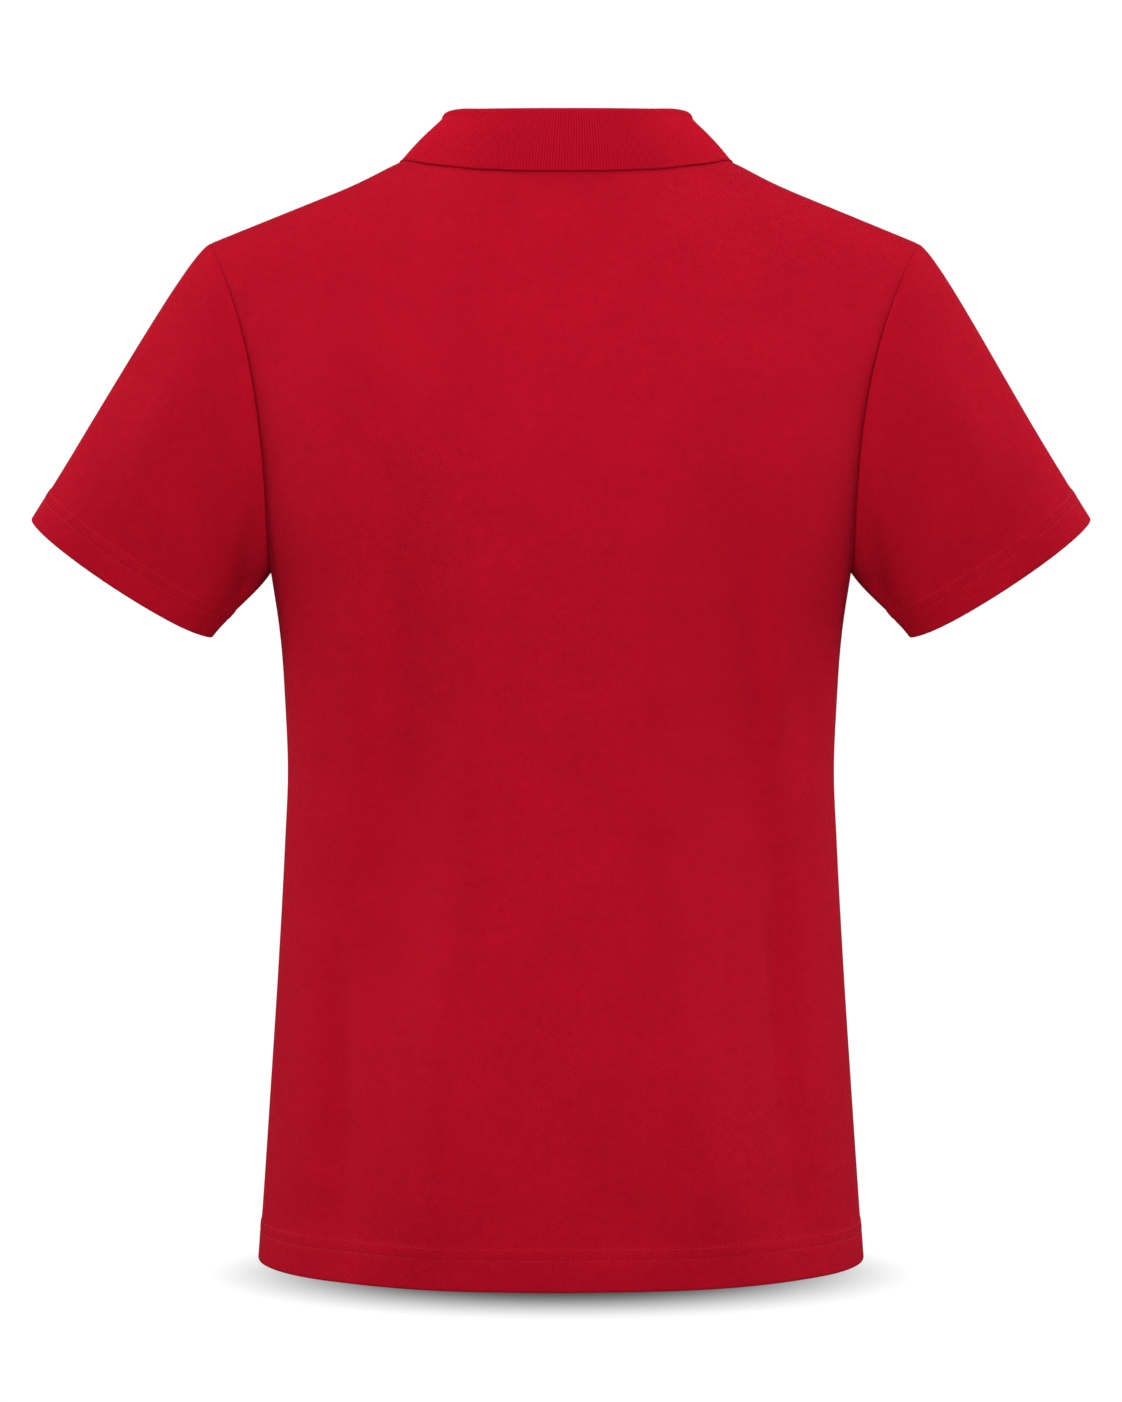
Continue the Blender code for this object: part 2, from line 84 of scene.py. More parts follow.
class Wire:
    """A socket of a node tree. Sums on it add Math nodes."""

    def __init__(self, tree, socket=None):
        self.tree = tree
        self.socket = socket

    def node(self, kind, settings, inputs, output=0):
        """Adds a node: its settings first, then a value or a Wire for each named or numbered socket."""
        added = self.tree.nodes.new(kind)
        for name, value in settings.items():
            setattr(added, name, value)
        for name, value in inputs.items():
            if isinstance(value, Wire):
                self.tree.links.new(value.socket, added.inputs[name])
            else:
                added.inputs[name].default_value = value
        return Wire(self.tree, added.outputs[output])

    def sum(self, operation, *values):
        return self.node("ShaderNodeMath", {"operation": operation}, dict(enumerate(values)))

    def __rsub__(self, other):
        return self.sum("SUBTRACT", other, self)

    def __neg__(self):
        return self * -1

    __add__ = __radd__ = math_node("ADD")
    __mul__ = __rmul__ = math_node("MULTIPLY")
    __sub__ = math_node("SUBTRACT")
    __truediv__ = math_node("DIVIDE")
    __pow__ = math_node("POWER")
    cos = math_node("COSINE")
    at_least = math_node("MAXIMUM")
    at_most = math_node("MINIMUM")

    def noise(self, scale, detail, output="Fac"):
        """Soft random values from 0 to 1 at this scale, in patches for each metre."""
        inputs = {"Vector": self, "Scale": scale, "Detail": detail}
        return self.node("ShaderNodeTexNoise", {}, inputs, output)

    def parts(self):
        """The x, y and z of a vector."""
        x = self.node("ShaderNodeSeparateXYZ", {}, {0: self})
        return [Wire(self.tree, socket) for socket in x.socket.node.outputs]

    def vector(self, x, y):
        return self.node("ShaderNodeCombineXYZ", {}, {"X": x, "Y": y})

    def mixed(self, low, high):
        """A colour between two, by this value."""
        colours = {0: self, 6: (*low, 1), 7: (*high, 1)}
        return self.node("ShaderNodeMix", {"data_type": "RGBA"}, colours, 2)


def new_finish(name):
    """A material, a Wire to start its sums from, and its shader's inputs."""
    material = bpy.data.materials.new(name)
    material.use_nodes = True
    tree = material.node_tree
    return material, Wire(tree), tree.nodes["Principled BSDF"].inputs


def connect(wire, socket):
    wire.tree.links.new(wire.socket, socket)


print("ready to write finishes")

# %% [markdown]
# ## The knits
# Pique is a cotton knit with small dimples in staggered rows, about one and a half millimetres
# apart. Its relief is much too fine to model, so it is a bump, worked out from the pattern map.
# The height is in metres, so the bump's distance stays at 1. Dimples are also painted a little darker,
# as shade, because less light gets in, and the dye is never quite even. The collar's ribs are real
# relief; its finish adds the small loops on them and paints light and shade on the ribs and loops.

# %% What the finishes share
RED_DEEP, RED_BRIGHT = (0.330, 0.0026, 0.0117), (0.520, 0.0051, 0.0218)
COTTON_SHINE = 0.02
FUZZ = {"Sheen Weight": 0.08, "Sheen Roughness": 0.50, "Sheen Tint": (1.0, 0.04, 0.12, 1)}


def cover(shader, tone, colours, rough, shine):
    """Gives a shader a colour between two, its roughness and its shine."""
    connect(tone.mixed(*colours), shader["Base Color"])
    connect(rough, shader["Roughness"])
    shader["Specular IOR Level"].default_value = shine


def cotton(start, shader, tone, rough, height):
    """The dry surface of both cotton knits: a faint fuzz, and a bump of this height."""
    cover(shader, tone, (RED_DEEP, RED_BRIGHT), rough, COTTON_SHINE)
    for name, value in FUZZ.items():
        shader[name].default_value = value
    connect(start.node("ShaderNodeBump", {}, {"Distance": 1.0, "Height": height}), shader["Normal"])


def knit_marks(start):
    """The pattern map, and its distances along a row and up a column."""
    knit = start.node("ShaderNodeUVMap", {"uv_map": "knit"}, {}, "UV")
    u, v, _ = knit.parts()
    return knit, u, v


print("cotton's sheen is", FUZZ["Sheen Weight"])

# %% Pique
WALE, COURSE = 0.00150, 0.00134  # one dimple's width and height
DRIFT, DRIFT_PATCHES = 0.6, 60  # real rows of knitting drift by this much of a dimple
DIMPLE_POWER = 1.3  # above 1, the ground between the dimples is wider than they are
YARN_STRETCH = 0.45  # along a column
YARN, CLOUD, NAP, HANDLING = (2400, 2), (26, 3), (170, 3), (38, 2)  # patches in a metre, detail
YARN_RISE, DIMPLE_FALL, HANDLING_RISE = 0.00008, 0.00024, 0.0006
TONE, CLOUD_TONE, NAP_TONE, YARN_TONE, DIMPLE_SHADE = 0.55, 0.40, 0.50, 0.55, 0.50
PIQUE_ROUGH, PIQUE_ROUGH_MORE = 0.78, 0.16


def pique_finish():
    material, start, shader = new_finish("pique")
    knit, u, v = knit_marks(start)
    drift_u, drift_v, _ = knit.noise(DRIFT_PATCHES, 1, "Color").parts()
    u, v = u + (drift_u - 0.5) * WALE * DRIFT, v + (drift_v - 0.5) * COURSE * DRIFT
    weave = (u * (math.tau / WALE)).cos() * (v * (math.tau / COURSE)).cos()
    dimple = (-weave).at_least(0) ** DIMPLE_POWER
    yarn = knit.vector(u, v * YARN_STRETCH).noise(*YARN)
    mottle = (knit.noise(*CLOUD) - 0.5) * CLOUD_TONE + (knit.noise(*NAP) - 0.5) * NAP_TONE
    # the dimples are painted darker, as shade; the mottle and the yarn are the dye's own unevenness
    tone = TONE + mottle + (yarn - 0.5) * YARN_TONE - dimple * DIMPLE_SHADE
    height = yarn * YARN_RISE - dimple * DIMPLE_FALL + knit.noise(*HANDLING) * HANDLING_RISE
    cotton(start, shader, tone, PIQUE_ROUGH + yarn * PIQUE_ROUGH_MORE, height)
    return material


pique = pique_finish()
print("pique has", len(pique.node_tree.nodes), "nodes")

# %% Rib
RIB_PITCH, RIB_LOOP = 0.0015, 0.0010  # from rib to rib, and one loop's height along a rib
LOOP_LAG = 1.4  # a loop sits higher in the middle of its rib than at its sides
RIB_YARN, RIB_CLOUD = (2200, 2), (14, 2)  # patches in a metre, detail
LOOP_RISE, RIB_YARN_RISE, RIDGE_RISE = 0.00004, 0.00006, 0.00003
# ridge and loop shading: the tops of the ribs and loops are painted lighter, the grooves between them
# darker
RIB_TONE, RIDGE_SHADING, LOOP_SHADING, RIB_CLOUD_TONE, RIB_YARN_TONE = 0.42, 0.27, 0.06, 0.15, 0.25
RIB_ROUGH, RIB_ROUGH_MORE = 0.80, 0.14


def rib_finish():
    material, start, shader = new_finish("rib")
    knit, u, v = knit_marks(start)
    ridge = (u * (math.tau / RIB_PITCH)).cos()
    loops = (v * (math.tau / RIB_LOOP) + ridge * LOOP_LAG).cos()
    yarn, cloud = knit.noise(*RIB_YARN), knit.noise(*RIB_CLOUD)
    uneven = (cloud - 0.5) * RIB_CLOUD_TONE + (yarn - 0.5) * RIB_YARN_TONE
    # painted light and shade on the ribs and loops, following their relief
    tone = RIB_TONE + ridge * RIDGE_SHADING + loops * LOOP_SHADING + uneven
    height = loops * LOOP_RISE + yarn * RIB_YARN_RISE + ridge * RIDGE_RISE
    cotton(start, shader, tone, RIB_ROUGH + yarn * RIB_ROUGH_MORE, height)
    return material


rib = rib_finish()
print("rib has", len(rib.node_tree.nodes), "nodes")

# %% [markdown]
# ## Thread and resin
# The seams are sewn with a polyester thread in the same red. It is smoother than cotton, so it
# catches a little light. The buttons are dyed resin: glossy, with faint clouds below the surface.

# %% Thread and buttons
THREAD_COLOURS = ((0.34, 0.003, 0.013), (0.49, 0.006, 0.021))
RESIN_COLOURS = ((0.25, 0.003, 0.011), (0.40, 0.007, 0.022))


def plain_finish(name, noise, colours, rough, rough_more, shine):
    """A finish with one noise, in patches for each metre, which varies its colour and roughness."""
    material, start, shader = new_finish(name)
    tone = start.node("ShaderNodeTexCoord", {}, {}, "Object").noise(*noise)
    cover(shader, tone, colours, rough + tone * rough_more, shine)
    return material


thread = plain_finish("thread", (2600, 1), THREAD_COLOURS, rough=0.55, rough_more=0.20, shine=0.20)
resin = plain_finish("resin", (420, 3), RESIN_COLOURS, rough=0.30, rough_more=0.16, shine=0.35)
print("thread and resin are ready")

# %% [markdown]
# ## The shirt's form
# These tables and formulas are the shirt's pattern, in metres. A row of a table is one level or
# one place on the shirt, and a smooth cubic joins the rows. The body is a rounded tube up to the
# underarm. Above it, each panel is a patch stretched between the centre line, the armhole, the
# shoulder seam and the neck seam. The sleeve is a tube that leaves the armhole and bends down.

# %% Cloth and body sizes
BACK, FRONT = 1, -1  # the sign of y on each half
HEM_HEIGHT, HEM_DIP, HEM_DIP_REACH = -0.7025, 0.0060, 0.2500  # the hem is lower at its middle
UNDERARM_HEIGHT = -0.2690
SHOULDER_TIP = np.array((0.2240, 0.0, -0.0600))
TORSO = (
    # height, half_width, back, front, squareness
    (-0.7025, 0.1914, 0.1285, 0.1230, 2.18),
    (-0.6670, 0.1889, 0.1300, 0.1236, 2.20),
    (-0.5910, 0.1838, 0.1285, 0.1225, 2.25),
    (-0.5150, 0.1790, 0.1180, 0.1180, 2.22),
    (-0.4400, 0.1750, 0.1110, 0.1135, 2.20),
    (-0.3950, 0.1732, 0.1100, 0.1130, 2.20),
    (-0.3500, 0.1750, 0.1125, 0.1165, 2.22),
    (-0.3120, 0.1778, 0.1168, 0.1210, 2.25),
    (-0.2690, 0.1842, 0.1228, 0.1245, 2.30),
)
CENTRE_BACK = (
    # height, depth
    (-0.2690, 0.1228),
    (-0.2050, 0.1245),
    (-0.1500, 0.1180),
    (-0.1000, 0.1030),
    (-0.0500, 0.0800),
    (-0.0160, 0.0545),
)
CENTRE_FRONT = (
    # height, depth
    (-0.2690, 0.1245),
    (-0.2150, 0.1262),
    (-0.1650, 0.1180),
    (-0.1200, 0.0975),
    (-0.0720, 0.0625),
)
ARMHOLE_BACK_DEPTH, ARMHOLE_FRONT_DEPTH = 0.0530, 0.0510
ARMHOLE_FLARE = 2.7  # how late the seam swings out to the shoulder tip
FRONT_SCOOP = 0.0120  # how much further in the armhole runs at the front
SHOULDER_ROUND = 0.026  # how far a panel swells below the shoulder seam, most of all by the neck
NECK_SLOPE, NECK_SLOPE_END, NECK_SLOPE_POWER = 0.0032, 0.40, 1.5  # the seam's rise beside the neck
NECK_HALF_WIDTH, NECK_SHARE = 0.0720, 6 / 14  # the share of a panel's columns that end at the neck
SIDE_NECK_HEIGHT, NECK_BACK_ROUND, NECK_FRONT_ROUND = 0.0020, 1.5, 1.15
LEAN, LEAN_START, LEAN_ROUND = 0.0035, -0.1800, 1.3  # the neck swings a little to one side
print("the body is", round(UNDERARM_HEIGHT - HEM_HEIGHT, 4), "m high below the underarm")

# %% Curves through a table
def cubic(t, start, end, leaving, arriving):
    """A cubic from start (0) to end (1), by the way it leaves the one and arrives at the other."""
    ends = (2 * t**3 - 3 * t**2 + 1) * start + (3 * t**2 - 2 * t**3) * end
    return ends + (t**3 - 2 * t**2 + t) * leaving + (t**3 - t**2) * arriving


def smooth(table, at):
    """A table's other columns, on a cubic through its rows, at values of its first column."""
    rows = np.array(table, float)
    keys, values = rows[:, 0], rows[:, 1:]
    slopes = np.gradient(values, keys, axis=0)
    at = np.asarray(at, float)
    i = np.clip(np.searchsorted(keys, at) - 1, 0, len(keys) - 2)
    span = (keys[i + 1] - keys[i])[..., None]
    t = (at - keys[i])[..., None] / span
    return cubic(t, values[i], values[i + 1], span * slopes[i], span * slopes[i + 1])


def bell(distance, width):
    """1 at no distance, and next to nothing from two widths on."""
    return np.exp(-((distance / width) ** 2))


def points(x, y, z):
    """Points from their three coordinates, each an array or one number."""
    return np.stack(np.broadcast_arrays(x, y, z), axis=-1).astype(float)


def unit(vectors):
    return vectors / np.maximum(np.linalg.norm(vectors, axis=-1, keepdims=True), 1e-12)


def distances(grid, axis):
    """How far each point of a grid lies along its row or column, in metres."""
    steps = np.linalg.norm(np.diff(grid, axis=axis), axis=-1)
    return np.insert(np.cumsum(steps, axis=axis), 0, 0, axis=axis)


def line_distances(line):
    """How far each point of a line lies from its start, in metres."""
    return distances(line[:, None], 0)[:, 0]


def line_at(values, lengths, wanted):
    """What a line's values are at other distances along it."""
    return np.stack([np.interp(wanted, lengths, column) for column in values.T], axis=-1)


def leaned(grid):
    """A grid of points once the neck has swung a little to one side."""
    moved = grid.copy()
    moved[..., 0] -= LEAN * np.maximum(0, 1 - grid[..., 2] / LEAN_START) ** LEAN_ROUND
    return moved


print("half width at the underarm", smooth(TORSO, UNDERARM_HEIGHT)[0])

# %% The tube and the armhole
def torso(side, height, turn):
    """The body below the underarm. turn is 0 at the centre line and a right angle at the side seam."""
    half_width, back, front, squareness = np.moveaxis(smooth(TORSO, height), -1, 0)
    power = 2 / squareness
    inward = np.abs(np.cos(turn))
    fade = np.maximum(0, 1 - (height - HEM_HEIGHT) / HEM_DIP_REACH) ** 2
    depth = back if side == BACK else front
    x, y = half_width * np.sin(turn) ** power, side * depth * inward**power
    return points(x, y, height - HEM_DIP * fade * inward)


def armhole(side, share):
    """The armhole seam, from the underarm (0) by the back or the front to the shoulder tip (1)."""
    turn = np.pi * share
    rise = (1 - np.cos(turn)) / 2
    low = smooth(TORSO, UNDERARM_HEIGHT)[0]
    x = low + (SHOULDER_TIP[0] - low) * rise**ARMHOLE_FLARE
    x = x - (FRONT_SCOOP * np.sin(turn) ** 2 if side == FRONT else 0)
    depth = ARMHOLE_BACK_DEPTH if side == BACK else ARMHOLE_FRONT_DEPTH
    height = UNDERARM_HEIGHT + rise * (SHOULDER_TIP[2] - UNDERARM_HEIGHT)
    return points(x, side * depth * np.sin(turn), height)


half_hem = torso(BACK, HEM_HEIGHT, np.linspace(0, np.pi / 2, 99))
print("half of the back's hem", round(line_distances(half_hem)[-1], 3), "m")

# %% The centre line, the neck seam and the shoulder seam
def centre_line(side, share):
    """The centre line from underarm height (0) to the neck seam (1)."""
    table = CENTRE_BACK if side == BACK else CENTRE_FRONT
    climb = share / 2 + (1 - np.cos(np.pi * share)) / 4
    height = UNDERARM_HEIGHT + climb * (table[-1][0] - UNDERARM_HEIGHT)
    return points(0, side * smooth(table, height)[..., 0], height)


def neckline(side, turn):
    """The neck seam. turn is 0 at the centre line and a right angle at the side neck point."""
    height, depth = (CENTRE_BACK if side == BACK else CENTRE_FRONT)[-1]
    inward = np.abs(np.cos(turn))
    drop = inward ** (NECK_BACK_ROUND if side == BACK else NECK_FRONT_ROUND)
    z = SIDE_NECK_HEIGHT + drop * (height - SIDE_NECK_HEIGHT)
    return points(NECK_HALF_WIDTH * np.sin(turn), side * depth * inward, z)


def top_edge(side, share):
    """A panel's top: the neck seam, then the shoulder seam."""
    on_neck = neckline(side, np.minimum(share / NECK_SHARE, 1) * np.pi / 2)
    along = np.maximum((share - NECK_SHARE) / (1 - NECK_SHARE), 0)
    swing = np.abs(np.sin(np.pi * np.minimum(along / NECK_SLOPE_END, 1)))
    seam = along[..., None] * (SHOULDER_TIP - neckline(side, np.pi / 2))
    return on_neck + seam + points(0, 0, NECK_SLOPE * swing**NECK_SLOPE_POWER)


print("shoulder seam", round(line_distances(top_edge(BACK, np.array([NECK_SHARE, 1])))[-1], 4), "m")

# %% The patch above the underarm
EASING_PASSES = 3  # for each row: how quickly the corner at the side of the neck fades


def eased_down(line, rows):
    """A line at a patch's top edge, and how it evens out row by row below it."""
    mirror = np.array((-1, 1, 1, 1))
    eased = [line]
    for _ in range(rows - 1):
        for _ in range(EASING_PASSES):
            wide = np.concatenate([line[1:2] * mirror, line])  # with its neighbour past the centre line
            line = np.concatenate([(wide[:-2] + 2 * wide[1:-1] + wide[2:]) / 4, line[-1:]])
        eased.append(line)
    return np.array(eased[::-1])


def yoke(side, across, up):
    """The body above the underarm. across is 0 at the centre line, up is 1 at the shoulder seam."""
    to_side, to_top = (across**2)[..., None], (up**2)[..., None]
    beside_neck = np.minimum(across[0] / NECK_SHARE, 1) ** 2
    top_line = np.concatenate([top_edge(side, across[0]), beside_neck[:, None]], axis=1)
    top = eased_down(top_line, len(up))
    below = torso(side, UNDERARM_HEIGHT, across * np.pi / 2)
    ruled = (1 - to_top) * below + to_top * top[..., :3]
    ruled = ruled + (1 - to_side) * centre_line(side, up) + to_side * armhole(side, up)
    inner = (1 - to_top) * centre_line(side, 0.0) + to_top * centre_line(side, 1.0)
    outer = (1 - to_top) * armhole(side, 0.0) + to_top * armhole(side, 1.0)
    swell = SHOULDER_ROUND * top[..., 3] * (1 - across**2) * up**4 * np.sqrt(1 - up**8)
    return ruled - (1 - to_side) * inner - to_side * outer + points(0, side * swell, 0)


back_armhole = armhole(BACK, np.linspace(0, 1, 99))
print("armhole", round(line_distances(back_armhole)[-1], 3), "m at the back")

# %% [markdown]
# ## Creases
# Worn cloth is never a clean tube. It hangs in soft folds from where it is held: the underarms, the
# shoulders and the placket. Each crease is one row of a table: where it starts and ends, how far it
# bows, how much the cloth rises or sinks and how wide that is. A simulation would put them anywhere,
# so they are placed one by one, each a different length, depth and width. All numbers are metres.

# %% How a crease lifts the cloth
CREASE_STEPS = 24
CREASE_TIP, CREASE_TAPER = 0.06, 0.7  # how low its tips start, and how soon it is at its full height
CREASE_SPREAD = 0.5  # how much wider it ends than it starts


def creased(across, height, table):
    """How far the cloth rises at places on a piece, from a table of its creases."""
    rise = np.zeros(np.broadcast(across, height).shape)
    for a0, h0, a1, h1, bow, lift, width in table:
        t = np.linspace(0, 1, CREASE_STEPS)
        length = math.hypot(a1 - a0, h1 - h0)
        sideways = bow * 4 * t * (1 - t) / length
        a = a0 + (a1 - a0) * t + sideways * (h0 - h1)
        h = h0 + (h1 - h0) * t + sideways * (a1 - a0)
        step_a, step_h = np.diff(a), np.diff(h)
        to_a, to_h = across[..., None] - a[:-1], height[..., None] - h[:-1]
        share = np.clip((to_a * step_a + to_h * step_h) / (step_a**2 + step_h**2), 0, 1)
        near = (to_a - share * step_a) ** 2 + (to_h - share * step_h) ** 2
        nearest = near.argmin(axis=-1)[..., None]
        along = ((nearest + np.take_along_axis(share, nearest, -1)) / (CREASE_STEPS - 1))[..., 0]
        taper = np.sin(np.pi * (CREASE_TIP + (1 - 2 * CREASE_TIP) * along)) ** CREASE_TAPER
        spread = width * (1 + CREASE_SPREAD * (along - 0.5))
        rise += lift * taper * np.exp(-near.min(axis=-1) / spread**2)
    return rise


print("each crease is followed in", CREASE_STEPS, "steps")

# %% Where the body is creased
BACK_CREASES = (
    # starts across, height; ends across, height; bow; lift; width
    (0.052, -0.190, 0.058, -0.540, 0.002, 0.0046, 0.020),
    (0.112, -0.190, 0.140, -0.650, -0.014, -0.0140, 0.046),
    (0.126, -0.240, 0.134, -0.430, 0.003, 0.0042, 0.014),
    (-0.052, -0.230, -0.060, -0.560, 0.002, 0.0046, 0.021),
    (-0.114, -0.205, -0.138, -0.640, -0.008, -0.0142, 0.047),
    (-0.139, -0.245, -0.151, -0.435, -0.003, 0.0044, 0.014),
    (0.205, -0.235, 0.160, -0.420, 0.010, 0.0026, 0.014),
    (-0.205, -0.238, -0.172, -0.430, -0.008, 0.0026, 0.015),
    (0.152, -0.510, 0.140, -0.690, 0.003, -0.0060, 0.014),
    (-0.150, -0.450, -0.162, -0.692, 0.004, -0.0064, 0.015),
    (0.078, -0.500, 0.080, -0.695, -0.003, 0.0056, 0.024),
    (-0.082, -0.545, -0.098, -0.695, 0.004, 0.0054, 0.027),
    (0.022, -0.535, 0.012, -0.650, 0.002, -0.0056, 0.028),
    (-0.030, -0.600, -0.036, -0.695, 0.002, -0.0040, 0.020),
    (0.170, -0.100, 0.060, -0.135, -0.006, -0.0018, 0.018),
    (-0.165, -0.110, -0.050, -0.150, 0.008, -0.0018, 0.020),
)
FRONT_CREASES = (
    # starts across, height; ends across, height; bow; lift; width
    (0.195, -0.235, 0.110, -0.330, 0.010, 0.0046, 0.012),
    (0.190, -0.262, 0.090, -0.400, 0.014, -0.0036, 0.015),
    (-0.195, -0.232, -0.098, -0.345, -0.012, 0.0048, 0.013),
    (-0.190, -0.258, -0.110, -0.430, -0.012, -0.0038, 0.016),
    (0.165, -0.150, 0.075, -0.215, -0.008, 0.0024, 0.016),
    (-0.165, -0.140, -0.080, -0.222, 0.010, 0.0026, 0.017),
    (0.020, -0.232, 0.044, -0.480, 0.006, 0.0030, 0.020),
    (-0.018, -0.235, -0.052, -0.520, -0.007, 0.0034, 0.022),
    (0.003, -0.260, -0.004, -0.560, 0.003, -0.0024, 0.018),
    (0.092, -0.430, 0.120, -0.690, -0.006, -0.0040, 0.022),
    (-0.105, -0.450, -0.132, -0.692, 0.008, -0.0042, 0.024),
    (0.150, -0.400, 0.176, -0.680, 0.004, 0.0032, 0.020),
    (-0.158, -0.420, -0.180, -0.690, -0.005, 0.0032, 0.022),
    (0.060, -0.560, 0.066, -0.695, 0.002, 0.0028, 0.026),
    (-0.062, -0.590, -0.070, -0.695, 0.002, 0.0026, 0.028),
)
print(len(BACK_CREASES) + len(FRONT_CREASES), "creases on the body")

# %% [markdown]
# ## From a form to cloth
# A piece starts as a grid of points on its outer face. The cloth itself is a thin sheet just
# inside that face. At a hem or a seam the sheet is turned under, as it is when it is sewn: it runs
# over a small round edge and back along its own inside. That gives the hem its thickness and every
# seam its groove. Solidify then gives the sheet its two faces. The pattern map is the distance
# along rows and columns, in metres, so that the knit follows the cloth at its real scale.

# %% Grids
CLOTH = 0.0010
TURN_GAP = 0.00015  # between a sheet and its turned layer
SEAM_GAP = -0.0004  # the turned edges of two pieces press this far into each other
TURN_ANGLES = (math.pi / 4, math.pi / 2, 3 * math.pi / 4)
SEAM_DEPTH = 0.0070  # how much of a piece is turned under at a seam
SEAM_EASE = 0.0100  # how far in the rows beside a seam make room for its turn
HEM_EASE_ROWS = 3  # over this many rows above a hem, a side seam's turn begins
CORNER = 1.2 * SEAM_DEPTH  # nearer than this to a corner, a side seam is turned less
LEAST_TURN = 0.05  # the share of its depth that it keeps there
TURN_STEP = 0.0025  # between the rows of a turned layer


def normals_of(grid, outward):
    """Unit normals of a grid. outward is 1 or -1, by which way its rows and columns run."""
    return outward * unit(np.cross(np.gradient(grid, axis=1), np.gradient(grid, axis=0)))


def from_middle(lengths):
    """Distances along rows, counted from the middle column."""
    return lengths - lengths[:, lengths.shape[1] // 2, None]


def relaxed(grid, weight, times):
    """Evens out a grid inside its border, as cloth does between its seams."""
    grid = grid.copy()
    for _ in range(times):
        around = (grid[:-2, 1:-1] + grid[2:, 1:-1] + grid[1:-1, :-2] + grid[1:-1, 2:]) / 4
        grid[1:-1, 1:-1] += weight[1:-1, 1:-1, None] * (around - grid[1:-1, 1:-1])
    return grid


print("a turned edge is", round(2 * CLOTH + TURN_GAP, 5), "m thick")

# %% Lines and squares of a grid
def lines_from(grid, edge):
    """A grid turned so that its first line runs along one of its edges."""
    if edge in ("left", "right"):
        grid = grid.swapaxes(0, 1)
    return grid if edge in ("bottom", "left") else grid[::-1]


def at_distances(lines, wanted):
    """Points at other distances from the first line, along the lines that cross it."""
    far = distances(lines[..., :3], 0)
    crossing = [line_at(*of_column) for of_column in zip(lines.swapaxes(0, 1), far.T, wanted.T)]
    return np.stack(crossing, axis=1)


def quads_of(numbers):
    """What a grid holds at the four corners of each of its squares."""
    corners = [numbers[:-1, :-1], numbers[:-1, 1:], numbers[1:, 1:], numbers[1:, :-1]]
    return np.stack(corners, axis=-1)


print("two by two points have", len(quads_of(np.zeros((2, 2)))), "square between them")

# %% Room for a turned edge
# A cloth grid holds, at each point, the place (3 numbers), the normal (3) and the pattern marks (2).
PLACE, NORMAL, MARKS = slice(0, 3), slice(3, 6), slice(6, 8)


def drawn_in(cloth, edge, thickness, hem_rows):
    """A cloth grid whose rows beside a seam lie a little further in, to make room for its turn."""
    reach = thickness + (TURN_GAP + SEAM_GAP) / 2
    lines = lines_from(cloth, edge)
    if edge in ("left", "right"):
        past_hem = (np.arange(lines.shape[1]) - hem_rows) / HEM_EASE_ROWS + 1
        reach = reach * np.clip(past_hem, LEAST_TURN, 1)
    far = distances(lines[..., PLACE], 0)
    moved = cloth.copy()
    lines_from(moved, edge)[:] = at_distances(lines, far + reach * np.maximum(0, 1 - far / SEAM_EASE))
    return moved


print("beside a seam, cloth lies", (TURN_GAP + SEAM_GAP) / 2 + CLOTH, "m further in")

# %% Turned edges
def turned_edge(cloth, edge, depth, thickness):
    """The lines that an edge turns under: a round bend, then the layer beneath, this deep."""
    radius = (thickness + TURN_GAP) / 2
    lines = lines_from(cloth, edge)
    along = distances(lines[:1, :, PLACE], 1)
    clipped = 1.0
    if edge in ("left", "right"):
        clipped = np.clip(np.minimum(along, along[:, -1:] - along) / CORNER, LEAST_TURN, 1)
    steps = np.linspace(0, depth, 2 + int(depth / TURN_STEP))[:, None]
    layer = at_distances(lines, steps * clipped + 0 * along)
    border, normal = layer[0, :, PLACE], unit(layer[0, :, NORMAL])
    tangent = unit(np.gradient(border, axis=0))
    into = layer[1, :, PLACE] - border
    into = into - (into * tangent).sum(-1, keepdims=True) * tangent
    into = unit(into - (into * normal).sum(-1, keepdims=True) * normal)
    onwards = unit(layer[0, :, MARKS] - layer[-1, :, MARKS])
    added = []
    for angle in TURN_ANGLES:
        bend = border + radius * ((math.cos(angle) - 1) * normal - math.sin(angle) * into)
        added.append(np.concatenate([bend, layer[0, :, MARKS] + radius * angle * onwards], axis=-1))
    for line in layer:
        beneath = line[:, PLACE] - 2 * radius * unit(line[:, NORMAL])
        marks = 2 * layer[0, :, MARKS] - line[:, MARKS] + math.pi * radius * onwards
        added.append(np.concatenate([beneath, marks], axis=-1))
    return np.array(added)


def framed(cloth, depths, thickness, first_side_row):
    """A cloth grid and its turned edges as one grid, empty where the turned edges would cross."""
    added = {edge: turned_edge(cloth, edge, depth, thickness) for edge, depth in depths.items()}
    bottom, top, left, right = (len(added.get(edge, ())) for edge in ("bottom", "top", "left", "right"))
    rows, columns = cloth.shape[:2]
    whole = np.full((bottom + rows + top, left + columns + right, 5), np.nan)
    up, across = slice(bottom, bottom + rows), slice(left, left + columns)
    whole[up, across] = np.concatenate([cloth[..., PLACE], cloth[..., MARKS]], axis=-1)
    for edge, lines in added.items():
        first, where = 0, across
        if edge in ("left", "right"):
            first, where = first_side_row, slice(up.start + first_side_row, up.stop)
        lines_from(whole, edge)[: len(lines), where] = lines[::-1, first:]
    return whole


print("a turned layer's rows are", TURN_STEP, "m apart")

# %% From a grid to a mesh
def linked(name, data):
    """A new object of a mesh, in the scene."""
    thing = bpy.data.objects.new(name, data)
    bpy.context.scene.collection.objects.link(thing)
    return thing


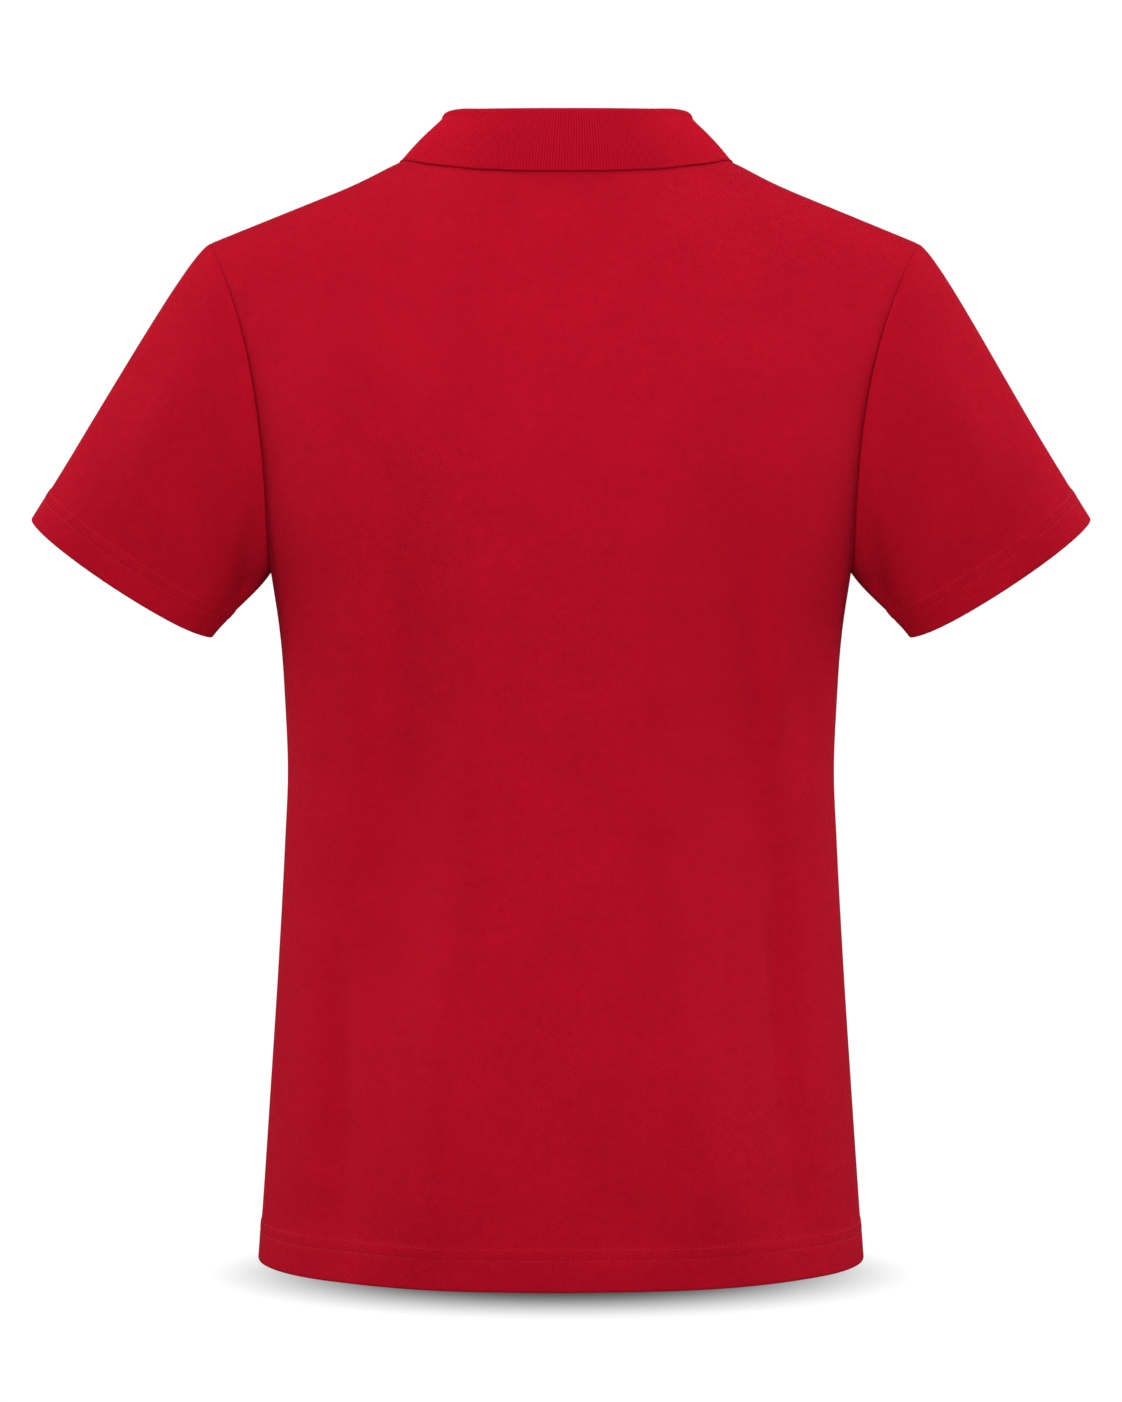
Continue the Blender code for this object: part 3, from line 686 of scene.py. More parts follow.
def mesh_of(name, grid):
    """A mesh object of a grid of places, with the pattern marks as its map."""
    there = ~np.isnan(grid[..., 0])
    number = np.full(there.shape, -1)
    number[there] = np.arange(there.sum())
    quads = quads_of(number)[quads_of(there).all(axis=-1)]
    data = bpy.data.meshes.new(name)
    data.from_pydata(grid[there][:, :3].tolist(), [], quads.tolist())
    marks = grid[there][quads.ravel(), 3:].astype(np.float32)
    data.uv_layers.new(name="knit").uv.foreach_set("vector", marks.ravel())
    return linked(name, data)


print("meshes can be made of grids")

# %% From a sheet to cloth
SMOOTH_CLOTH = 60  # degrees: sharper edges stay sharp


def only(thing):
    """Selects one object and nothing else."""
    bpy.ops.object.select_all(action="DESELECT")
    thing.select_set(True)
    bpy.context.view_layer.objects.active = thing


def lean(thing):
    """Swings the upper part of a finished mesh a little to one side, as the shirt hangs."""
    spots = np.empty(3 * len(thing.data.vertices), np.float32)
    thing.data.vertices.foreach_get("co", spots)
    moved = leaned(spots.reshape(-1, 3).astype(float))
    thing.data.vertices.foreach_set("co", moved.astype(np.float32).ravel())
    thing.data.update()


def thickened(thing, thickness, material, thin_edges=None):
    """Gives a sheet its two faces and its finish. thin_edges: each vertex's share of the thickness."""
    lean(thing)
    thing.data.materials.append(material)
    solidify = thing.modifiers.new("cloth", "SOLIDIFY")
    solidify.thickness = thickness
    solidify.offset = 0
    if thin_edges is not None:
        group = thing.vertex_groups.new(name="thickness")
        for number, share in enumerate(thin_edges):
            group.add([number], share, "REPLACE")
        solidify.vertex_group = "thickness"
    only(thing)
    bpy.ops.object.modifier_apply(modifier="cloth")
    if thin_edges is not None:
        thing.vertex_groups.clear()
    bpy.ops.object.shade_smooth_by_angle(angle=math.radians(SMOOTH_CLOTH))
    print(thing.name, 2 * len(thing.data.polygons), "triangles")
    return thing


def cloth_sheet(name, outer, outward, depths, thickness=CLOTH, first_side_row=0):
    """A sheet just inside a grid on its outer face, with some of its edges turned under."""
    normals = normals_of(outer, outward)
    pattern = np.stack([from_middle(distances(outer, 1)), distances(outer, 0)], axis=-1)
    cloth = np.concatenate([outer - normals * thickness / 2, normals, pattern], axis=-1)
    for edge in depths:
        cloth = drawn_in(cloth, edge, thickness, first_side_row)
    return mesh_of(name, framed(cloth, depths, thickness, first_side_row))


print("cloth is", CLOTH, "m thick")

# %% [markdown]
# ## Hems
# The hems are turned once and sewn from the outside with a twin needle, which leaves two rows of
# straight stitches a quarter of an inch apart. The thread pulls the cloth in a little along each
# row and puckers it. The turned layer ends just above the upper row and lifts the cloth over it.

# %% Hem levels and relief
TWIN_ROWS = {"body": (0.0180, 0.0244), "sleeve": (0.0160, 0.0224)}  # above the edge
HEM_DEPTHS = {"body": 0.0255, "sleeve": 0.0235}
NEEDLE_LEVELS = (-1.6, -0.8, 0, 0.8, 1.6)  # from a row of stitches, in grooves' widths
PLAIN_LEVELS = (0, 0.0012, 0.0024, 0.0040, 0.0065, 0.0095, 0.0125)
LEVELS_AFTER = (0.0009, 0.0020, 0.0045)  # above the end of the turned layer
LEAST_LEVEL = 0.0004  # levels nearer than this to the one below are left out
HEM_PROUD, HEM_END_ROUND = 0.0005, 0.0003
GROOVE_DEPTH, GROOVE_WIDTH = 0.00022, 0.0009
PUCKER, PUCKER_HALF_WIDTH = 0.00016, 0.0055
PUCKER_LENGTH, PUCKER_DRIFT, PUCKER_WANDER = 0.0105, 0.071, 2.2


def hem_levels(kind):
    """How far above its edge each row of a hem lies: closer together at the stitches."""
    needle = [row + step * GROOVE_WIDTH for row in TWIN_ROWS[kind] for step in NEEDLE_LEVELS]
    after = [HEM_DEPTHS[kind] + step for step in LEVELS_AFTER]
    levels = sorted([*PLAIN_LEVELS, *needle, *after])
    return [level for level, below in zip(levels, [-1, *levels]) if level - below > LEAST_LEVEL]


def hem_relief(kind, level, along):
    """How far a hem stands out, by the level above its edge and the distance along it."""
    ending = 1 / (1 + np.exp((level - HEM_DEPTHS[kind]) / HEM_END_ROUND))
    grooves = sum(bell(level - row, GROOVE_WIDTH) for row in TWIN_ROWS[kind])
    between = bell(level - sum(TWIN_ROWS[kind]) / 2, PUCKER_HALF_WIDTH)
    wander = PUCKER_WANDER * np.sin(math.tau * along / PUCKER_DRIFT)
    wave = np.sin(math.tau * along / PUCKER_LENGTH + wander)
    return HEM_PROUD * ending - GROOVE_DEPTH * grooves + PUCKER * between * wave


HEM_ROWS = {kind: len(hem_levels(kind)) - len(LEVELS_AFTER) for kind in TWIN_ROWS}  # within the hem
print("rows in a hem:", HEM_ROWS)

# %% [markdown]
# ## The body
# Each panel is made as one half, mirrored, and evened out a little where the tube meets the patch
# above the underarm. Then the creases lift or sink it. They die away at the seams, because two
# layers of turned cloth are stiffer there and because both pieces have to meet.

# %% Body grids
HALF_COLUMNS = 68
BODY_ROWS, YOKE_ROWS, YOKE_CLOSING = 84, 72, 1.55  # above 1, rows close up towards the shoulder
EVENING, EVENING_REACH, EVENING_TIMES = 0.9, 0.045, 70

yoke_ups = np.array([1 - (1 - k / YOKE_ROWS) ** YOKE_CLOSING for k in range(YOKE_ROWS + 1)])


def panel_form(side):
    """A panel's outer face before it is creased."""
    hem = hem_levels("body")
    rise = np.linspace(hem[-1], UNDERARM_HEIGHT - HEM_HEIGHT, BODY_ROWS)[1:]
    heights = HEM_HEIGHT + np.array([*hem, *rise])[:, None]
    across = np.linspace(0, 1, HALF_COLUMNS + 1)[None]
    tube, patch = torso(side, heights, across * np.pi / 2), yoke(side, across, yoke_ups[1:, None])
    half = np.concatenate([tube, patch])
    grid = np.concatenate([half[:, :0:-1] * (-1, 1, 1), half], axis=1)
    weight = EVENING * bell(grid[..., 2] - UNDERARM_HEIGHT, EVENING_REACH)
    return relaxed(grid, weight, EVENING_TIMES)


print("a panel has", 2 * HALF_COLUMNS + 1, "columns, and", YOKE_ROWS, "rows above the underarm")

# %% Creased body panels
SEAM_STIFFNESS = 0.009
PLACKET_HALF_WIDTH, PLACKET_BOTTOM = 0.0150, -0.2250
PLACKET_STIFF = (0.012, 0.020)  # creases come back this far beside it and below it


def seam_fade(grid):
    """0 at a piece's seams and 1 well inside it."""
    across, along = distances(grid, 1), distances(grid, 0)
    to_side = np.minimum(across, across[:, -1:] - across)
    to_top = along[-1:] - along
    return 1 - bell(np.minimum(to_side, to_top), SEAM_STIFFNESS)


def cloth_face(form, outward, table, height, fade, kind):
    """A form lifted along its normals by its creases, and then by the relief of its hem."""
    rise = creased(from_middle(distances(form, 1)), height, table) * fade
    grid = form + normals_of(form, outward) * rise[..., None]
    level = np.array(hem_levels(kind))[:, None]
    relief = hem_relief(kind, level, distances(grid, 1)[: len(level)])
    grid[: len(level)] += normals_of(grid, outward)[: len(level)] * relief[..., None]
    return grid


def body_face(side, table):
    """A panel's creased outer face with its hem."""
    form = panel_form(side)
    fade = seam_fade(form)
    if side == FRONT:
        beside = (np.abs(from_middle(distances(form, 1))) - PLACKET_HALF_WIDTH) / PLACKET_STIFF[0]
        below = (PLACKET_BOTTOM - form[..., 2]) / PLACKET_STIFF[1]
        fade = fade * np.clip(np.maximum(beside, below), 0, 1)
    return cloth_face(form, -side, table, form[..., 2], fade, "body")


def hemmed_sheet(name, face, outward, kind):
    """A sheet with its hem turned up and its three other edges turned under at the seams."""
    depths = {"bottom": HEM_DEPTHS[kind], "top": SEAM_DEPTH, "left": SEAM_DEPTH, "right": SEAM_DEPTH}
    return cloth_sheet(name, face, outward, depths, first_side_row=HEM_ROWS[kind])


back_face, front_face = body_face(BACK, BACK_CREASES), body_face(FRONT, FRONT_CREASES)
print("back", back_face.shape, "front", front_face.shape)

# %% Body cloth
back_sheet = hemmed_sheet("back_cloth", back_face, -BACK, "body")
front_sheet = hemmed_sheet("front_cloth", front_face, -FRONT, "body")
back_cloth = thickened(back_sheet, CLOTH, pique)

# %% The placket's slit
SLIT_MARGIN = 0.0015  # the strips overlap the slit's edges by this
CUT_BELOW = 0.01  # the cuts down its sides run past its bottom by this
slit_side, slit_bottom = PLACKET_HALF_WIDTH - SLIT_MARGIN, PLACKET_BOTTOM + SLIT_MARGIN


def in_slit(middle):
    return abs(middle.x) < slit_side and middle.z > slit_bottom


def edit(thing):
    """Opens a mesh for editing."""
    only(thing)
    bpy.ops.object.mode_set(mode="EDIT")
    return bmesh.from_edit_mesh(thing.data)


def cut_along(thing, place, normal, keep):
    """Cuts a mesh along a plane. keep says which faces' middles take part."""
    for face in edit(thing).faces:
        face.select_set(keep(face.calc_center_median()))
    bmesh.update_edit_mesh(thing.data)
    bpy.ops.mesh.bisect(plane_co=place, plane_no=normal)
    bpy.ops.object.mode_set(mode="OBJECT")


for x in (-slit_side, slit_side):
    cut_along(front_sheet, (x, 0, 0), (1, 0, 0), lambda middle: middle.z > slit_bottom - CUT_BELOW)
cut_along(front_sheet, (0, 0, slit_bottom), (0, 0, 1), lambda middle: abs(middle.x) < slit_side)
slit_mesh = edit(front_sheet)
inside = [face for face in slit_mesh.faces if in_slit(face.calc_center_median())]
bmesh.ops.delete(slit_mesh, geom=inside, context="FACES")
bmesh.update_edit_mesh(front_sheet.data)
bpy.ops.object.mode_set(mode="OBJECT")
front_cloth = thickened(front_sheet, CLOTH, pique)
print("slit opened:", len(inside), "faces cut away")

# %% [markdown]
# ## Sleeves
# Each sleeve is cut in one piece, joined under the arm and set into the armhole. It is made the
# same way as a panel. Its rows are counted by their distance from the cuff, so that the hem keeps
# its depth all the way round. The sleeve was cut for a raised arm. Hanging down, its underside is
# short and folds in beside the body.

# %% Sleeve sizes and the cuff
CUFF_MIDDLE = np.array((0.2800, -0.0130, -0.2720))
CUFF_TILT, CUFF_YAW = math.radians(33.5), math.radians(11.0)
CUFF_HALF_LENGTH, CUFF_HALF_WIDTH = 0.0685, 0.0370
SLEEVE = (
    # angle from the top; how the cloth leaves the armhole: out, back, down; how it arrives
    (0, 0.038, 0.000, 0.012, 0.320),
    (45, 0.045, 0.010, 0.035, 0.250),
    (90, 0.060, 0.020, 0.060, 0.170),
    (135, 0.055, 0.005, 0.040, 0.100),
    (180, 0.022, 0.000, 0.038, 0.038),
)
SLEEVE_ROWS, SLEEVE_STEPS = 60, 300
SEAM_ROW = 0.0025  # the last row before the armhole lies this far from it


def cuff(turn):
    """The sleeve's edge, from its outer corner (0) by the back to the underarm (half a turn)."""
    long_axis = np.array((math.cos(CUFF_TILT), 0, math.sin(CUFF_TILT)))
    out_of_sleeve = np.array((math.sin(CUFF_TILT), 0, -math.cos(CUFF_TILT)))
    across = math.cos(CUFF_YAW) * np.array((0, 1, 0)) + math.sin(CUFF_YAW) * out_of_sleeve
    along = CUFF_HALF_LENGTH * math.cos(turn) * long_axis
    return CUFF_MIDDLE + along + CUFF_HALF_WIDTH * math.sin(turn) * across


print("cuff", [round(float(n), 3) for n in cuff(0) - cuff(math.pi)], "m from corner to corner")

# %% Sleeve form
def sleeve_line(side, up):
    """One line of the left sleeve's outer face, from the cuff to the armhole."""
    turn = math.pi * (1 - up)
    start, end = armhole(side, up), cuff(side * turn)
    out, back, down, arrive = smooth(SLEEVE, math.degrees(turn))
    leaving = np.array((out, side * back, -down))
    arriving = arrive * np.array((math.sin(CUFF_TILT), -math.sin(CUFF_YAW), -math.cos(CUFF_TILT)))
    line = cubic(np.linspace(1, 0, SLEEVE_STEPS)[:, None], start, end, leaving, arriving)
    lengths = line_distances(line)
    hem = hem_levels("sleeve")
    rise = np.linspace(hem[-1], lengths[-1] - SEAM_ROW, SLEEVE_ROWS)[1:]
    return line_at(line, lengths, [*hem, *rise, lengths[-1]])


def sleeve_form():
    """The left sleeve: rows from cuff to armhole, columns from the underarm by the back and the top."""
    places = [(BACK, up) for up in yoke_ups] + [(FRONT, up) for up in yoke_ups[-2::-1]]
    return np.array([sleeve_line(side, up) for side, up in places]).swapaxes(0, 1)


plain_sleeve = sleeve_form()
print("sleeve", plain_sleeve.shape, round(distances(plain_sleeve, 0)[-1, YOKE_ROWS], 4), "m on top")

# %% Where the sleeves are creased
# Across is counted round the sleeve from its top line, to the back below 0 and to the front above 0.
# Height is counted from the cuff.
LEFT_SLEEVE_CREASES = (
    # starts across, height; ends across, height; bow; lift; width
    (-0.112, 0.060, -0.100, 0.140, 0.006, -0.0022, 0.018),
    (-0.160, 0.008, -0.215, 0.080, 0.004, -0.0056, 0.022),
    (-0.060, 0.150, -0.080, 0.040, 0.006, 0.0016, 0.022),
    (-0.030, 0.150, -0.028, 0.020, -0.004, -0.0012, 0.020),
    (0.040, 0.150, 0.060, 0.030, 0.005, 0.0022, 0.017),
    (0.108, 0.060, 0.085, 0.120, -0.006, -0.0034, 0.014),
    (0.155, 0.010, 0.205, 0.075, 0.004, -0.0050, 0.020),
)
RIGHT_SLEEVE_CREASES = (
    # starts across, height; ends across, height; bow; lift; width
    (-0.114, 0.058, -0.103, 0.132, 0.005, -0.0020, 0.019),
    (-0.158, 0.010, -0.212, 0.084, 0.005, -0.0054, 0.023),
    (-0.064, 0.145, -0.078, 0.050, 0.005, 0.0017, 0.022),
    (-0.027, 0.140, -0.032, 0.030, -0.003, -0.0011, 0.021),
    (0.045, 0.145, 0.055, 0.035, 0.004, 0.0020, 0.018),
    (0.110, 0.058, 0.088, 0.115, -0.005, -0.0030, 0.015),
    (0.152, 0.012, 0.208, 0.070, 0.004, -0.0046, 0.021),
)
print(len(LEFT_SLEEVE_CREASES), "creases on each sleeve")

# %% Sleeve cloth
SIDES = {"left": 1, "right": -1}  # the sign of x

sleeve_faces, sleeves = {}, {}
for (name, side), table in zip(SIDES.items(), (LEFT_SLEEVE_CREASES, RIGHT_SLEEVE_CREASES)):
    form = plain_sleeve * (side, 1, 1)
    face = cloth_face(form, -side, table, distances(form, 0), seam_fade(form), "sleeve")
    sheet = hemmed_sheet(f"sleeve_{name}_cloth", face, -side, "sleeve")
    sleeve_faces[name], sleeves[name] = face, thickened(sheet, CLOTH, pique)

# %% [markdown]
# ## What the rest lies on
# The placket and the collar lie on the body. A search tree of the body's faces answers two
# questions for them: where a level line from in front meets the chest, and which point of the
# cloth is nearest.

# %% The chest's surface
def surface_of(grids):
    """The outer faces of some grids, to be asked for the nearest point or hit by a line."""
    spots, quads = [], []
    for grid in grids:
        numbers = len(spots) + np.arange(grid[..., 0].size).reshape(grid.shape[:2])
        quads += quads_of(numbers).reshape(-1, 4).tolist()
        spots += grid.reshape(-1, 3).tolist()
    return BVHTree.FromPolygons(spots, quads)


chest = surface_of([front_face])


def chest_point(x, z):
    """The place and outward normal of the front where a level line from in front meets it."""
    place, normal, _, _ = chest.ray_cast(Vector((x, -1, z)), Vector((0, 1, 0)))
    return np.array(place), np.array(normal) * (1 if normal.y < 0 else -1)


print("the chest's middle, under the collar", np.round(chest_point(0, CENTRE_FRONT[2][0])[0], 4))

# %% [markdown]
# ## The placket
# The placket is the shirt's opening: a slit with a folded strip down each edge. The left strip lies
# on the right one and holds the buttonholes. Each strip is a sheet with its two sides and its
# bottom turned under. The upper one follows the chest, eased down to it at its edges, and the
# lower one does the same behind the slit.

# %% How the upper strip lies
LAID_GAP, PLACKET_WALL = 0.0007, 0.0016
STRIP_CLOTH = 0.00072
STRIP_EASE, STRIP_EASE_WIDTH = 0.0006, 0.0022
STRIP_ROWS, STRIP_COLUMNS = 66, 20
STRIP_TURN, STRIP_SHORT = 0.0100, 0.0002
STRIP_SWELL, STRIP_SWELLS = 0.00035, ((0.021, 0.3), (0.034, 1.9))  # the waves' lengths and starts


def strip_top(x):
    """The height of the neck seam at a place across the front."""
    return neckline(FRONT, np.arcsin(np.abs(x) / NECK_HALF_WIDTH))[..., 2] - STRIP_SHORT


def strip_lift(x, z):
    """How far the upper strip's face stands off the chest: less at its edges, and never quite even."""
    edge = np.exp(-((PLACKET_HALF_WIDTH - np.abs(x)) / STRIP_EASE_WIDTH))
    foot = np.exp(-(z - PLACKET_BOTTOM) / STRIP_EASE_WIDTH)
    wave = sum(np.sin(math.tau * z / length + start) for length, start in STRIP_SWELLS) / 2
    eased = STRIP_EASE * np.maximum(edge, foot)
    return LAID_GAP + PLACKET_WALL - eased + STRIP_SWELL * wave * (1 - edge)


print("the placket is", round(float(strip_top(PLACKET_HALF_WIDTH)) - PLACKET_BOTTOM, 4), "m high")

# %% Placket strips
def strip_face(lift):
    """A grid on a strip's outer face. lift says how far it stands off the chest."""
    grid = []
    for share in np.linspace(0, 1, STRIP_ROWS):
        row = []
        for x in np.linspace(-PLACKET_HALF_WIDTH, PLACKET_HALF_WIDTH, STRIP_COLUMNS):
            z = PLACKET_BOTTOM + share * (float(strip_top(x)) - PLACKET_BOTTOM)
            place, normal = chest_point(x, z)
            row.append(place + normal * lift(x, z))
        grid.append(row)
    return np.array(grid)


def strip(name, lift):
    """A strip's outer face and its cloth, turned under at its sides and its bottom."""
    face = strip_face(lift)
    depths = dict.fromkeys(("bottom", "left", "right"), STRIP_TURN)
    return face, thickened(cloth_sheet(name, face, 1, depths, STRIP_CLOTH), STRIP_CLOTH, pique)


top_face, placket_top = strip("placket_top_cloth", strip_lift)
_, placket_under = strip("placket_under_cloth", lambda x, z: -CLOTH - LAID_GAP)

# %% [markdown]
# ## The collar
# A polo's collar isn't cut from cloth. It is knitted to shape as one flat ribbed band with finished
# edges, sewn on at the neck and folded over. Its ribs are real relief here: the whole knit is
# corrugated, so they show on both of its faces. A few dozen profiles from the neck seam over the
# fold to the edge give the shape, and a smooth curve through them gives every rib its place.

# %% Collar sizes
COLLAR_BEND = 0.0022  # radius of the fold at the middle of the wall
COLLAR_SEAT = 0.0001  # the stand starts this far above the neck seam
LEAF_LIFT = 0.0012  # the leaf's middle keeps this far off the shoulders
COLLAR_END, COLLAR_END_FROM = 0.0012, 0.9  # each end stops this far from the centre front
COLLAR = (
    # place, fold x, y, z, edge x, y, z
    (-0.25, -0.0520, 0.0435, 0.0166, -0.0690, 0.0560, -0.0076),
    (0.00, 0.0000, 0.0585, 0.0150, 0.0000, 0.0745, -0.0100),
    (0.25, 0.0520, 0.0435, 0.0166, 0.0690, 0.0560, -0.0076),
    (0.375, 0.0688, 0.0235, 0.0190, 0.0915, 0.0326, -0.0048),
    (0.50, 0.0768, 0.0000, 0.0185, 0.1050, 0.0040, -0.0050),
    (0.75, 0.0560, -0.0430, -0.0085, 0.0900, -0.0560, -0.0540),
    (1.00, 0.0030, -0.0640, -0.0480, 0.0440, -0.0880, -0.1080),
)
PROFILES = 33  # on each half
STAND_SHARES = np.linspace(0, 1, 8)
FOLD_TURNS = np.linspace(0, np.pi, 10)[1:-1]
LEAF_ROWS = 15
EDGE_ROWS = (0.0022, 0.0014, 0.0008, 0.0004, 0.0001, 0)  # rows this far from the leaf's edge
EDGE_START = 0.0035  # and the others end this far from it
LEAF_ROLL = 0.0012  # how far the leaf bulges between the fold and its edge
LEAF_EVENING, LEAF_EVENING_TIMES = 0.5, 4
print("the collar stands", COLLAR[1][3] - CENTRE_BACK[-1][0], "m high at the back")

# %% Collar profiles
shoulders = surface_of([back_face[-YOKE_ROWS:, ::-1], front_face[-YOKE_ROWS:], top_face])


def resting(place):
    """How high a point is above the body, and where it would be if it lay on it."""
    near, normal, _, _ = shoulders.find_nearest(Vector(place))
    near, normal = np.array(near), np.array(normal)
    return (place - near) @ normal, near + normal * LEAF_LIFT


def collar_profile(place):
    """One profile of the collar's left half, at a place from the centre back (0) to the front (1)."""
    turn = place * math.pi
    side = BACK if turn <= math.pi / 2 else FRONT
    seam = neckline(side, turn if side == BACK else math.pi - turn)
    numbers = smooth(COLLAR, place)
    fold, edge = numbers[:3], numbers[3:]
    seam[0] = max(seam[0], COLLAR_END if place > COLLAR_END_FROM else 0)
    up, out = unit(fold - seam), edge - fold
    out = unit(out - (out @ up) * up)
    edge = resting(edge)[1]
    seam = seam + up * COLLAR_SEAT - out * CLOTH / 2
    inside, outside = fold - out * COLLAR_BEND, fold + out * COLLAR_BEND
    column = [seam + share * (inside - seam) for share in STAND_SHARES]
    column += [fold + COLLAR_BEND * (math.sin(bend) * up - math.cos(bend) * out) for bend in FOLD_TURNS]
    leaf = edge - outside
    length = np.linalg.norm(leaf)
    swell = unit(np.cross(leaf, np.cross(out, leaf)))
    plain_rows = np.linspace(0, 1 - EDGE_START / length, LEAF_ROWS)
    for share in (*plain_rows, *(1 - np.array(EDGE_ROWS) / length)):
        spot = outside + share * leaf + LEAF_ROLL * math.sin(math.pi * share) * swell
        height, laid = resting(spot)
        column.append(spot if height > LEAF_LIFT else laid)
    return np.array(column)


print("a profile has", len(collar_profile(0.0)), "points")

# %% Collar form
left_half = np.array([collar_profile(place) for place in np.linspace(0, 1, PROFILES)])
collar_form = np.concatenate([left_half[:0:-1] * (-1, 1, 1), left_half]).swapaxes(0, 1)
leaf_rows = np.arange(len(collar_form)) > len(STAND_SHARES) + len(FOLD_TURNS)
evening = np.broadcast_to(LEAF_EVENING * leaf_rows[:, None], collar_form.shape[:2])
collar_form = relaxed(collar_form, evening, LEAF_EVENING_TIMES)
print("collar leaf", round(distances(collar_form[leaf_rows], 0)[-1, PROFILES - 1], 4), "m at the back")

# %% Collar ribs
COLLAR_CLOTH = 0.0014
RIB_RELIEF = 0.00020
RIB_SAMPLES = 4
FINISHED_EDGE, RIB_START = 0.0016, 0.4  # the ribs start at this share of it from the edge
LEAST_ROUNDING = 0.06  # how much of its thickness the edge keeps, squared

fold_row = len(STAND_SHARES) + len(FOLD_TURNS) // 2
along_fold = line_distances(collar_form[fold_row])
rib_count = round(along_fold[-1] / RIB_PITCH)
stations = np.linspace(0, along_fold[-1], rib_count * RIB_SAMPLES + 1)
rows, profiles = collar_form.shape[:2]
table = np.concatenate([along_fold[:, None], collar_form.swapaxes(0, 1).reshape(profiles, -1)], axis=1)
collar_mid = smooth(table, stations).reshape(len(stations), rows, 3).swapaxes(0, 1)

leaf_edge = distances(collar_mid[::-1], 0)[::-1]
to_end = np.minimum(distances(collar_mid, 1), distances(collar_mid[:, ::-1], 1)[:, ::-1])
to_edge = np.minimum(leaf_edge, to_end)
ribbed = np.clip(to_edge / FINISHED_EDGE - RIB_START, 0, 1)
relief = RIB_RELIEF * np.cos(math.tau * stations / RIB_PITCH) * ribbed
collar_mid += normals_of(collar_mid, 1) * relief[..., None]
pattern = np.stack([np.broadcast_to(stations, leaf_edge.shape), distances(collar_mid, 0)], axis=-1)
collar_sheet = mesh_of("collar_knit", np.concatenate([collar_mid, pattern], axis=-1))
into_round = (1 - to_edge / (COLLAR_CLOTH / 2)).clip(0, 1)
rounding = np.sqrt(np.clip(1 - into_round**2, LEAST_ROUNDING, 1))
collar_knit = thickened(collar_sheet, COLLAR_CLOTH, rib, rounding.ravel().tolist())
print(rib_count, "ribs")

# %% [markdown]
# ## Stitches
# A stitch is a short bowed grain of thread. One grain of a few dozen faces is copied along each
# sewn line, and each piece's stitches are one mesh, built from arrays because there are hundreds.
# They sit in the groove that the thread pulls into the cloth.

# %% A thread grain
GRAIN_SIDES, GRAIN_RINGS, GRAIN_TAPER = 6, 3, 0.6


def grain():
    """A thread grain of unit size along x: its points and triangles."""
    spots = [(-0.5, 0, 0), (0.5, 0, 0)]
    for turn in np.linspace(0, math.pi, GRAIN_RINGS + 2)[1:-1]:
        width = math.sin(turn) ** GRAIN_TAPER / 2
        for around in math.tau * np.arange(GRAIN_SIDES) / GRAIN_SIDES:
            spots.append((-math.cos(turn) / 2, width * math.cos(around), width * math.sin(around)))
    ring = 2 + np.arange(GRAIN_RINGS * GRAIN_SIDES).reshape(GRAIN_RINGS, GRAIN_SIDES)
    nexts = np.roll(ring, -1, axis=1)
    faces = [(0, b, a) for a, b in zip(ring[0], nexts[0])]
    faces += [(1, a, b) for a, b in zip(ring[-1], nexts[-1])]
    for low, high, low_next, high_next in zip(ring[:-1], ring[1:], nexts[:-1], nexts[1:]):
        for a, b, c, d in zip(low, low_next, high_next, high):
            faces += [(a, b, c), (a, c, d)]
    return np.array(spots), np.array(faces)


GRAIN_POINTS, GRAIN_FACES = grain()
print("a grain has", len(GRAIN_FACES), "triangles")

# %% Sewing along a line
STITCH_PITCH, STITCH = 0.0030, (0.0024, 0.00050, 0.00034)  # length, width, height


def stitched(name, middles, directions, normals, size):
    """A mesh of thread grains, one at each middle, along its direction."""
    along = unit(directions - (directions * normals).sum(-1, keepdims=True) * normals)
    frames = np.stack([along, np.cross(normals, along), normals], axis=1)
    spots = middles[:, None] + (GRAIN_POINTS * size) @ frames
    faces = np.arange(len(middles))[:, None, None] * len(GRAIN_POINTS) + GRAIN_FACES
    data = bpy.data.meshes.new(name)
    data.from_pydata(spots.reshape(-1, 3).tolist(), [], faces.reshape(-1, 3).tolist())
    data.materials.append(thread)
    thing = linked(name, data)
    lean(thing)
    only(thing)
    bpy.ops.object.shade_smooth()
    print(name, len(middles), "stitches")
    return thing


def along_line(line, normals, pitch):
    """Places, directions and normals at even steps along a line of points."""
    lengths = line_distances(line)
    count = int(lengths[-1] / pitch)
    steps = (np.arange(count) + 0.5) * lengths[-1] / count
    behind, ahead = (np.clip(steps + way * pitch / 4, 0, lengths[-1]) for way in (-1, 1))
    directions = line_at(line, lengths, ahead) - line_at(line, lengths, behind)
    return line_at(line, lengths, steps), directions, unit(line_at(normals, lengths, steps))


def sewn(name, lines, pitch=STITCH_PITCH, size=STITCH):
    """One mesh of the stitches along several lines, each given by its points and normals."""
    parts = [along_line(line, normals, pitch) for line, normals in lines]
    return stitched(name, *map(np.concatenate, zip(*parts)), size)


print("stitches are", STITCH_PITCH, "m apart")

# %% Hem stitches
def hem_lines(grid, outward, kind):
    """The sewn lines of a hem."""
    normals = normals_of(grid, outward)
    rows = [hem_levels(kind).index(row) for row in TWIN_ROWS[kind]]
    return [(grid[row], normals[row]) for row in rows]


body_lines = hem_lines(back_face, -BACK, "body") + hem_lines(front_face, -FRONT, "body")
body_stitches = sewn("body_hem_stitches", body_lines)
sleeve_stitches = {
    name: sewn(f"sleeve_{name}_stitches", hem_lines(sleeve_faces[name], -side, "sleeve"))
    for name, side in SIDES.items()
}

